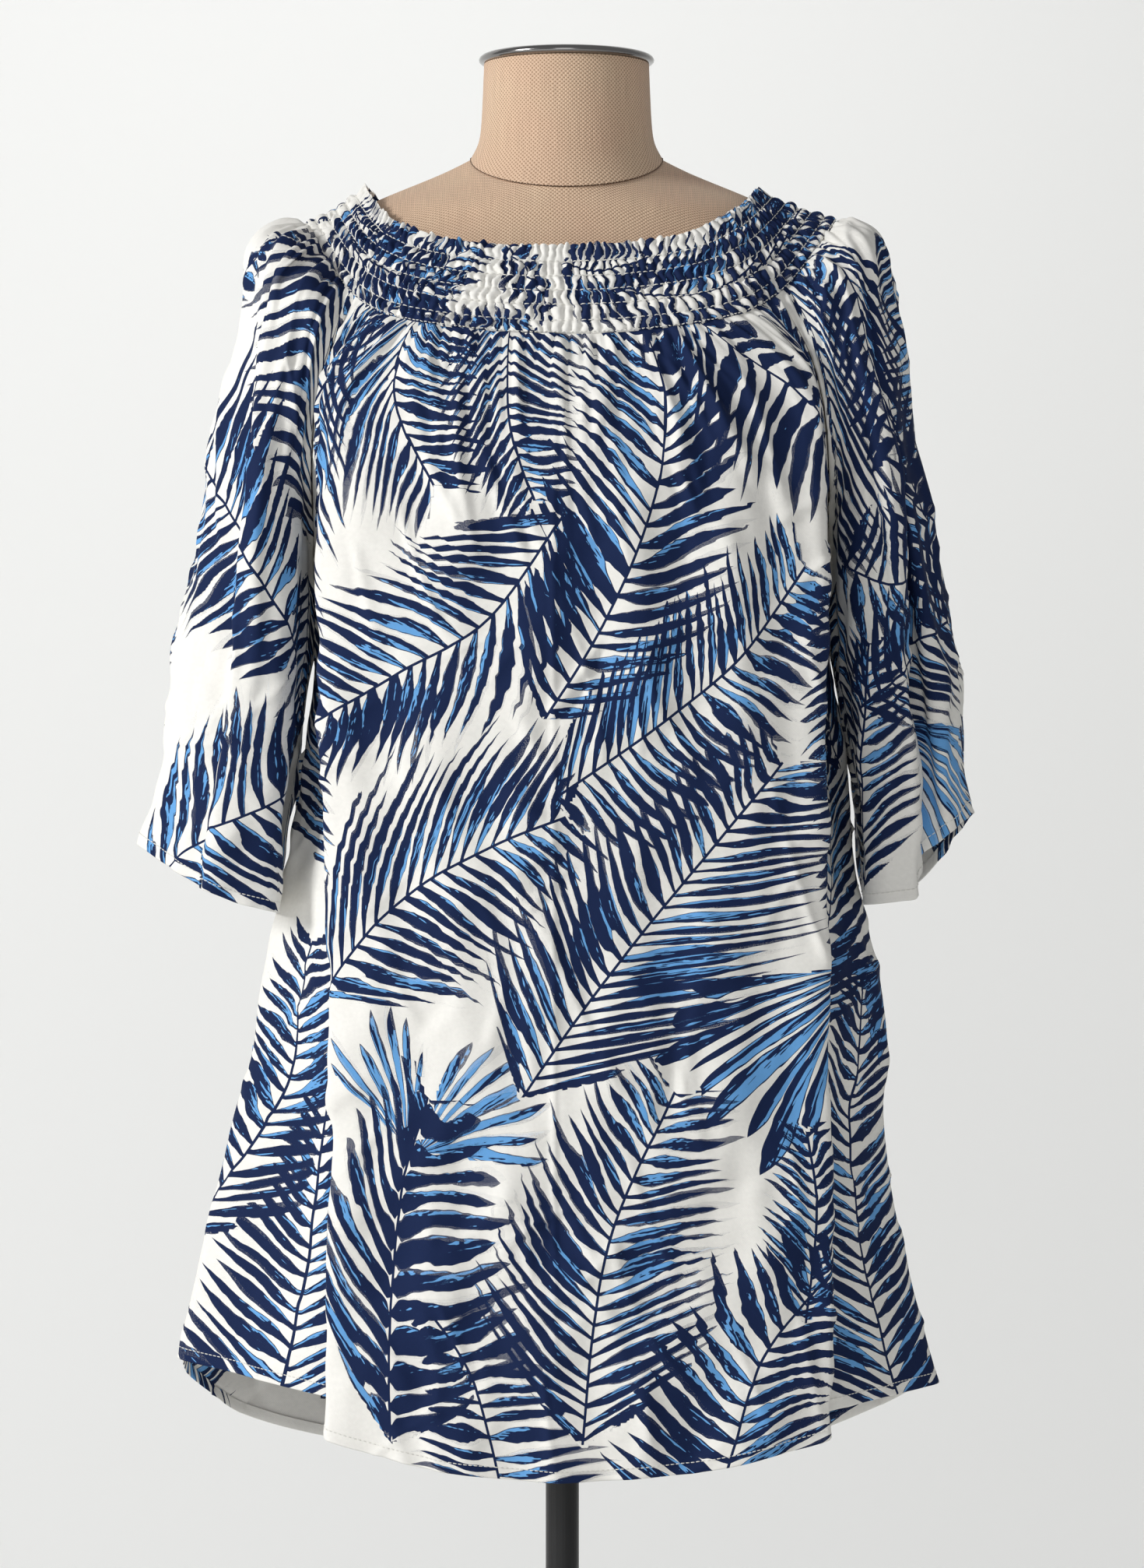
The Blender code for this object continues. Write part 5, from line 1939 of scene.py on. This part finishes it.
TORSO_RINGS = (
    Ring(1474.0, 63.5, 61, 60, 25, 12, 2.0),
    Ring(1464.0, 84.0, 62, 64, 20, 12, 2.0),
    Ring(1449.0, 121.0, 65, 68, 14, 9, 2.0),
    Ring(1438.0, 144.0, 67, 73, 13, 6, 2.0),
    Ring(1425.0, 163.0, 71, 80, 12, 5, 2.0),
    Ring(1411.0, 175.0, 76, 86, 9, 3, 2.0),
    Ring(1392.0, 181.0, 83, 92, 4, 0, 2.0),
    Ring(1355.0, 181.0, 96, 99, 0, 0, 2.05),
    Ring(1310.0, 177.0, 112, 104, 0, 0, 2.1),
    Ring(1255.0, 162.0, 124, 103, 0, 0, 2.2),
    Ring(1215.0, 150.0, 127, 99, 0, 0, 2.2),
    Ring(1150.0, 132.0, 110, 88, 0, 0, 2.2),
    Ring(1075.0, 117.0, 88, 80, 0, 0, 2.2),
    Ring(1005.0, 137.0, 94, 96, 0, 0, 2.2),
    Ring(930.0, 160.0, 98, 108, 0, 0, 2.2),
    Ring(880.0, 163.0, 98, 108, 0, 0, 2.2),
    Ring(850.0, 160.0, 96, 106, 0, 0, 2.2),
)
NECK_RINGS = (
    Ring(1536.8, 54.6, 54, 54, 0, 0, 2.0),
    Ring(1516.0, 55.4, 54.5, 54.5, 4, 3, 2.0),
    Ring(1495.0, 56.6, 55.5, 55, 13, 8, 2.0),
    Ring(1484.0, 58.6, 57, 56.5, 19, 10, 2.0),
    Ring(1474.3, 63.5, 61, 60, 25, 12, 2.0),
)


@dataclass
class DressForm:
    """Linen-covered torso and neck with their seam, and the polished neck cap."""

    linen: bpy.types.Material
    steel: bpy.types.Material
    seam_thread: bpy.types.Material
    around: int = 132
    per_span: int = 7
    cap_profile: tuple[tuple[float, float], ...] = (
        (0.0, 1543.3), (38.0, 1543.2), (50.0, 1543.0), (54.4, 1542.6), (56.2, 1542.0), (57.4, 1541.0),
        (58.0, 1539.6), (57.7, 1538.4), (56.6, 1537.5), (55.2, 1537.1), (0.0, 1537.1),
    )

    def cover(self, name: str, rings: Sequence[Ring], shrink: float, sloping: bool) -> bpy.types.Object:
        """Closed cover through a stack of rings.

        Args:
            name: the object's name.
            rings: the rings from the top down.
            shrink: how far the cover lies inside the rings.
            sloping: whether its threads are laid over a slope, from above, and not round a tube.

        Returns:
            The object.
        """
        table = np.array([tuple(ring) for ring in rings], float)
        fine = spline(table, places_in_spans([self.per_span] * (len(rings) - 1)))
        angle = np.linspace(0, 2 * math.pi, self.around, endpoint=False)
        across, deep = np.cos(angle)[None, :], np.sin(angle)[None, :]
        z, half_width, front, back, front_drop, back_rise, square = (fine[:, k][:, None] for k in range(7))
        power = 2 / square
        x = (half_width - shrink) * np.sign(across) * np.abs(across) ** power
        reach = np.where(deep > 0, back, front) - shrink
        y = reach * np.sign(deep) * np.abs(deep) ** power
        height = z + np.where(deep > 0, back_rise, front_drop) * deep
        grid = np.stack([x, y, height], axis=-1)
        rows, columns = grid.shape[:2]
        numbers = np.arange(rows * columns).reshape(rows, columns)
        ahead = np.roll(numbers, -1, axis=1)
        quads = np.stack([numbers[:-1], numbers[1:], ahead[1:], ahead[:-1]], axis=-1).reshape(-1, 4)
        centres = np.array([grid[0].mean(0), grid[-1].mean(0)])
        points = np.concatenate([grid.reshape(-1, 3), centres])
        count = rows * columns
        faces = quads.tolist()
        faces += [(count, int(a), int(b)) for a, b in zip(numbers[0], ahead[0])]
        faces += [(count + 1, int(b), int(a)) for a, b in zip(numbers[-1], ahead[-1])]
        piece = mesh_object(name, points, faces, self.linen)
        piece.data.set_sharp_from_angle(angle=math.radians(40))
        cloth = np.zeros((len(points), 3))
        if sloping:
            cloth[:count, 0] = x.ravel()
            cloth[:count, 1] = (y + 0.8 * deep * (rings[0].z - height)).ravel()
        else:
            cloth[:count, 0] = np.broadcast_to(run_length(grid[rows // 2]), (rows, columns)).ravel()
            cloth[:count, 1] = height.ravel()
        cloth[count:, 1] = centres[:, 2]
        write_vectors(piece, "cloth_mm", cloth)
        return piece

    def neck_seam(self) -> None:
        """Sew the neck's cover to the torso's with small dark stitches."""
        ring = NECK_RINGS[-1]
        angle = np.linspace(0, 2 * math.pi, 181)
        across, deep = np.cos(angle), np.sin(angle)
        x = ring.half_width * across
        y = np.where(deep > 0, ring.back, ring.front) * deep
        z = ring.z + np.where(deep > 0, ring.back_rise, ring.front_drop) * deep
        line = np.stack([x, y, z + 0.1], axis=-1)
        outward = unit(np.stack([across, deep, np.full(angle.shape, 0.7)], axis=-1))
        starts, ends = line[:-1], line[:-1] + (line[1:] - line[:-1]) * 0.8
        piece = add_stitches("form_neck_seam", starts, ends, outward[:-1], self.seam_thread, 0.3, 0.15)
        settle(piece)

    def build(self) -> None:
        """Build the covers and the cap over their solids."""
        for name, rings, shrink in (("form_torso", TORSO_RINGS, 1.0), ("form_neck", NECK_RINGS, 0.0)):
            piece = self.cover(name + "_cover", rings, shrink, sloping=name == "form_torso")
            settle(piece, name)
            log.info("%s: %d faces", piece.name, len(piece.data.polygons))
        self.neck_seam()
        cap = turned("neck_cap_polished", self.cap_profile, self.steel)
        settle(cap, "neck_cap")
        log.info("%s: turned from %d points", cap.name, len(self.cap_profile))


def turned(
    name: str, profile: Sequence[tuple[float, float]], material: bpy.types.Material
) -> bpy.types.Object:
    """Turned solid from a profile of radius and height, top to bottom.

    Args:
        name: the object's name.
        profile: radius and height of each point.
        material: its material.

    Returns:
        The object.
    """
    points = np.array([(radius, 0.0, height) for radius, height in profile])
    piece = mesh_object(name, points, [], material, [(k, k + 1) for k in range(len(points) - 1)])
    screw = piece.modifiers.new("turn", "SCREW")
    screw.steps = screw.render_steps = 128
    screw.use_merge_vertices = True
    screw.merge_threshold = 0.0001
    screw.use_smooth_shade = True
    piece.modifiers.new("even", "EDGE_SPLIT").split_angle = math.radians(38)
    return piece


@dataclass
class Stand:
    """Black pole and round base under the form."""

    coat: bpy.types.Material
    pole_x: float = -2.8
    base_profile: tuple[tuple[float, float], ...] = (
        (0.0, 22.0), (21.0, 22.0), (23.5, 21.6), (25.2, 20.4), (26.0, 18.6), (26.0, 12.5), (27.0, 11.4),
        (30.0, 10.9), (120.0, 9.6), (187.0, 8.9), (191.0, 8.2), (193.6, 6.6), (194.8, 4.4), (195.0, 2.2),
        (194.2, 0.6), (192.8, 0.0), (0.0, 0.0),
    )

    def build(self) -> None:
        """Give the pole its finish and build the base finer over its solid."""
        for slot in bpy.data.objects["pole"].material_slots:
            slot.material = self.coat
        base = turned("base_plate", self.base_profile, self.coat)
        base.location.x = self.pole_x * MM
        settle(base, "base")
        log.info("%s: turned from %d points", base.name, len(self.base_profile))


# ---------------------------------------------------------------- studio


class Lamp(NamedTuple):
    """Square soft box: where it hangs and the point it faces, in metres, its side and its watts."""

    name: str
    place: Spot
    aim: Spot
    size: float
    power: float


@dataclass
class Studio:
    """Pale paper sweep, soft light from the upper left, and the camera."""

    paper: bpy.types.Material
    lamps: tuple[Lamp, ...] = (
        Lamp("key", (-5.0, -2.9, 3.3), (0.0, 0.0, 1.1), 1.5, 248.0),
        Lamp("front_fill", (-0.2, -3.8, 1.6), (0.0, 0.0, 1.0), 1.6, 18.0),
        Lamp("back_wash", (-0.1, 0.9, 2.3), (0.2, 2.4, 1.2), 1.4, 8.0),
    )
    camera_distance: float = 3.4
    camera_height: float = 1.061
    camera_x: float = 0.0036
    view_height: float = 1.0372
    sensor: float = 36.0  # in millimetres, up the picture
    air: str = "#f4f5f7"
    air_strength: float = 0.31
    sweep_start: float = 1.2  # how far behind the form the paper leaves the floor, in metres
    sweep_radius: float = 1.2
    sweep_half_width: float = 6.0

    def build(self) -> None:
        """Build the sweep, the lights, the world and the camera."""
        self.sweep()
        for lamp in self.lamps:
            self.hang(lamp)
        world = bpy.data.worlds.new("studio_air")
        world.use_nodes = True
        background = world.node_tree.nodes["Background"]
        background.inputs["Color"].default_value = linear(self.air)
        background.inputs["Strength"].default_value = self.air_strength
        bpy.context.scene.world = world
        bpy.context.scene.view_settings.view_transform = "Standard"
        lens = bpy.data.cameras.new("camera")
        lens.sensor_fit = "VERTICAL"
        lens.sensor_height = self.sensor
        lens.lens = self.sensor * self.camera_distance / self.view_height
        lens.clip_end = 30.0
        camera = bpy.data.objects.new("camera", lens)
        camera.location = (self.camera_x, -self.camera_distance, self.camera_height)
        camera.rotation_euler = (math.radians(90), 0.0, 0.0)
        bpy.context.scene.collection.objects.link(camera)
        bpy.context.scene.camera = camera

    @staticmethod
    def hang(lamp: Lamp) -> None:
        """Hang one lamp.

        Args:
            lamp: the lamp.
        """
        data = bpy.data.lights.new(lamp.name, "AREA")
        data.size = lamp.size
        data.energy = lamp.power
        light = bpy.data.objects.new(lamp.name, data)
        light.location = lamp.place
        towards = np.array(lamp.aim) - np.array(lamp.place)
        tilt = math.atan2(math.hypot(towards[0], towards[1]), -towards[2])
        light.rotation_euler = (tilt, 0.0, math.atan2(towards[1], towards[0]) - math.pi / 2)
        bpy.context.scene.collection.objects.link(light)

    def sweep(self) -> None:
        """Paper that runs from the floor up behind the form."""
        start, radius, wide = self.sweep_start, self.sweep_radius, self.sweep_half_width
        profile = [(-wide, 0.0), (start, 0.0)]
        for step in range(1, 13):
            angle = math.pi / 2 * step / 12
            profile.append((start + radius * math.sin(angle), radius - radius * math.cos(angle)))
        profile.append((start + radius, 5.0))
        points = [(x, y, z) for x in (-wide, wide) for y, z in profile]
        count = len(profile)
        faces = [(k, k + count, k + count + 1, k + 1) for k in range(count - 1)]
        mesh = bpy.data.meshes.new("paper_sweep")
        mesh.from_pydata(points, [], faces)
        mesh.materials.append(self.paper)
        mesh.shade_smooth()
        sweep = bpy.data.objects.new("paper_sweep", mesh)
        bpy.context.scene.collection.objects.link(sweep)
        sweep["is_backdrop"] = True


def main() -> None:
    """Load the part's solids, build every piece over them, and measure the boxes before and after."""
    logging.basicConfig(level=logging.INFO, format="%(name)s: %(message)s")
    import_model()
    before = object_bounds()
    prints = {
        "yoke": PalmPrint(SMOCKED_LEAVES),
        "front_panel": PalmPrint(BODY_LEAVES),
        "back_panel": PalmPrint(BODY_LEAVES, facing=-1),
        "sleeve_left": PalmPrint(SLEEVE_LEAVES[Side.LEFT], overlap=0.7),
        "sleeve_right": PalmPrint(SLEEVE_LEAVES[Side.RIGHT], overlap=0.9),
    }
    tunic = Tunic(PrintedViscose().build(), SewingThread().build(), prints)
    tunic.dress_yoke()
    tunic.dress_panels()
    seam_thread = SewingThread("#6f5540", "#4a3526").build()
    DressForm(CoarseLinen().build(), PolishedSteel().build(), seam_thread).build()
    Stand(PowderCoatedSteel().build()).build()
    Studio(StudioPaper().build()).build()
    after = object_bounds()
    boxes = {"cad": before, "visual": after}
    {name: [list(corner) for corner in box] for name, box in boxes.items()}


if __name__ == "__main__":
    main()
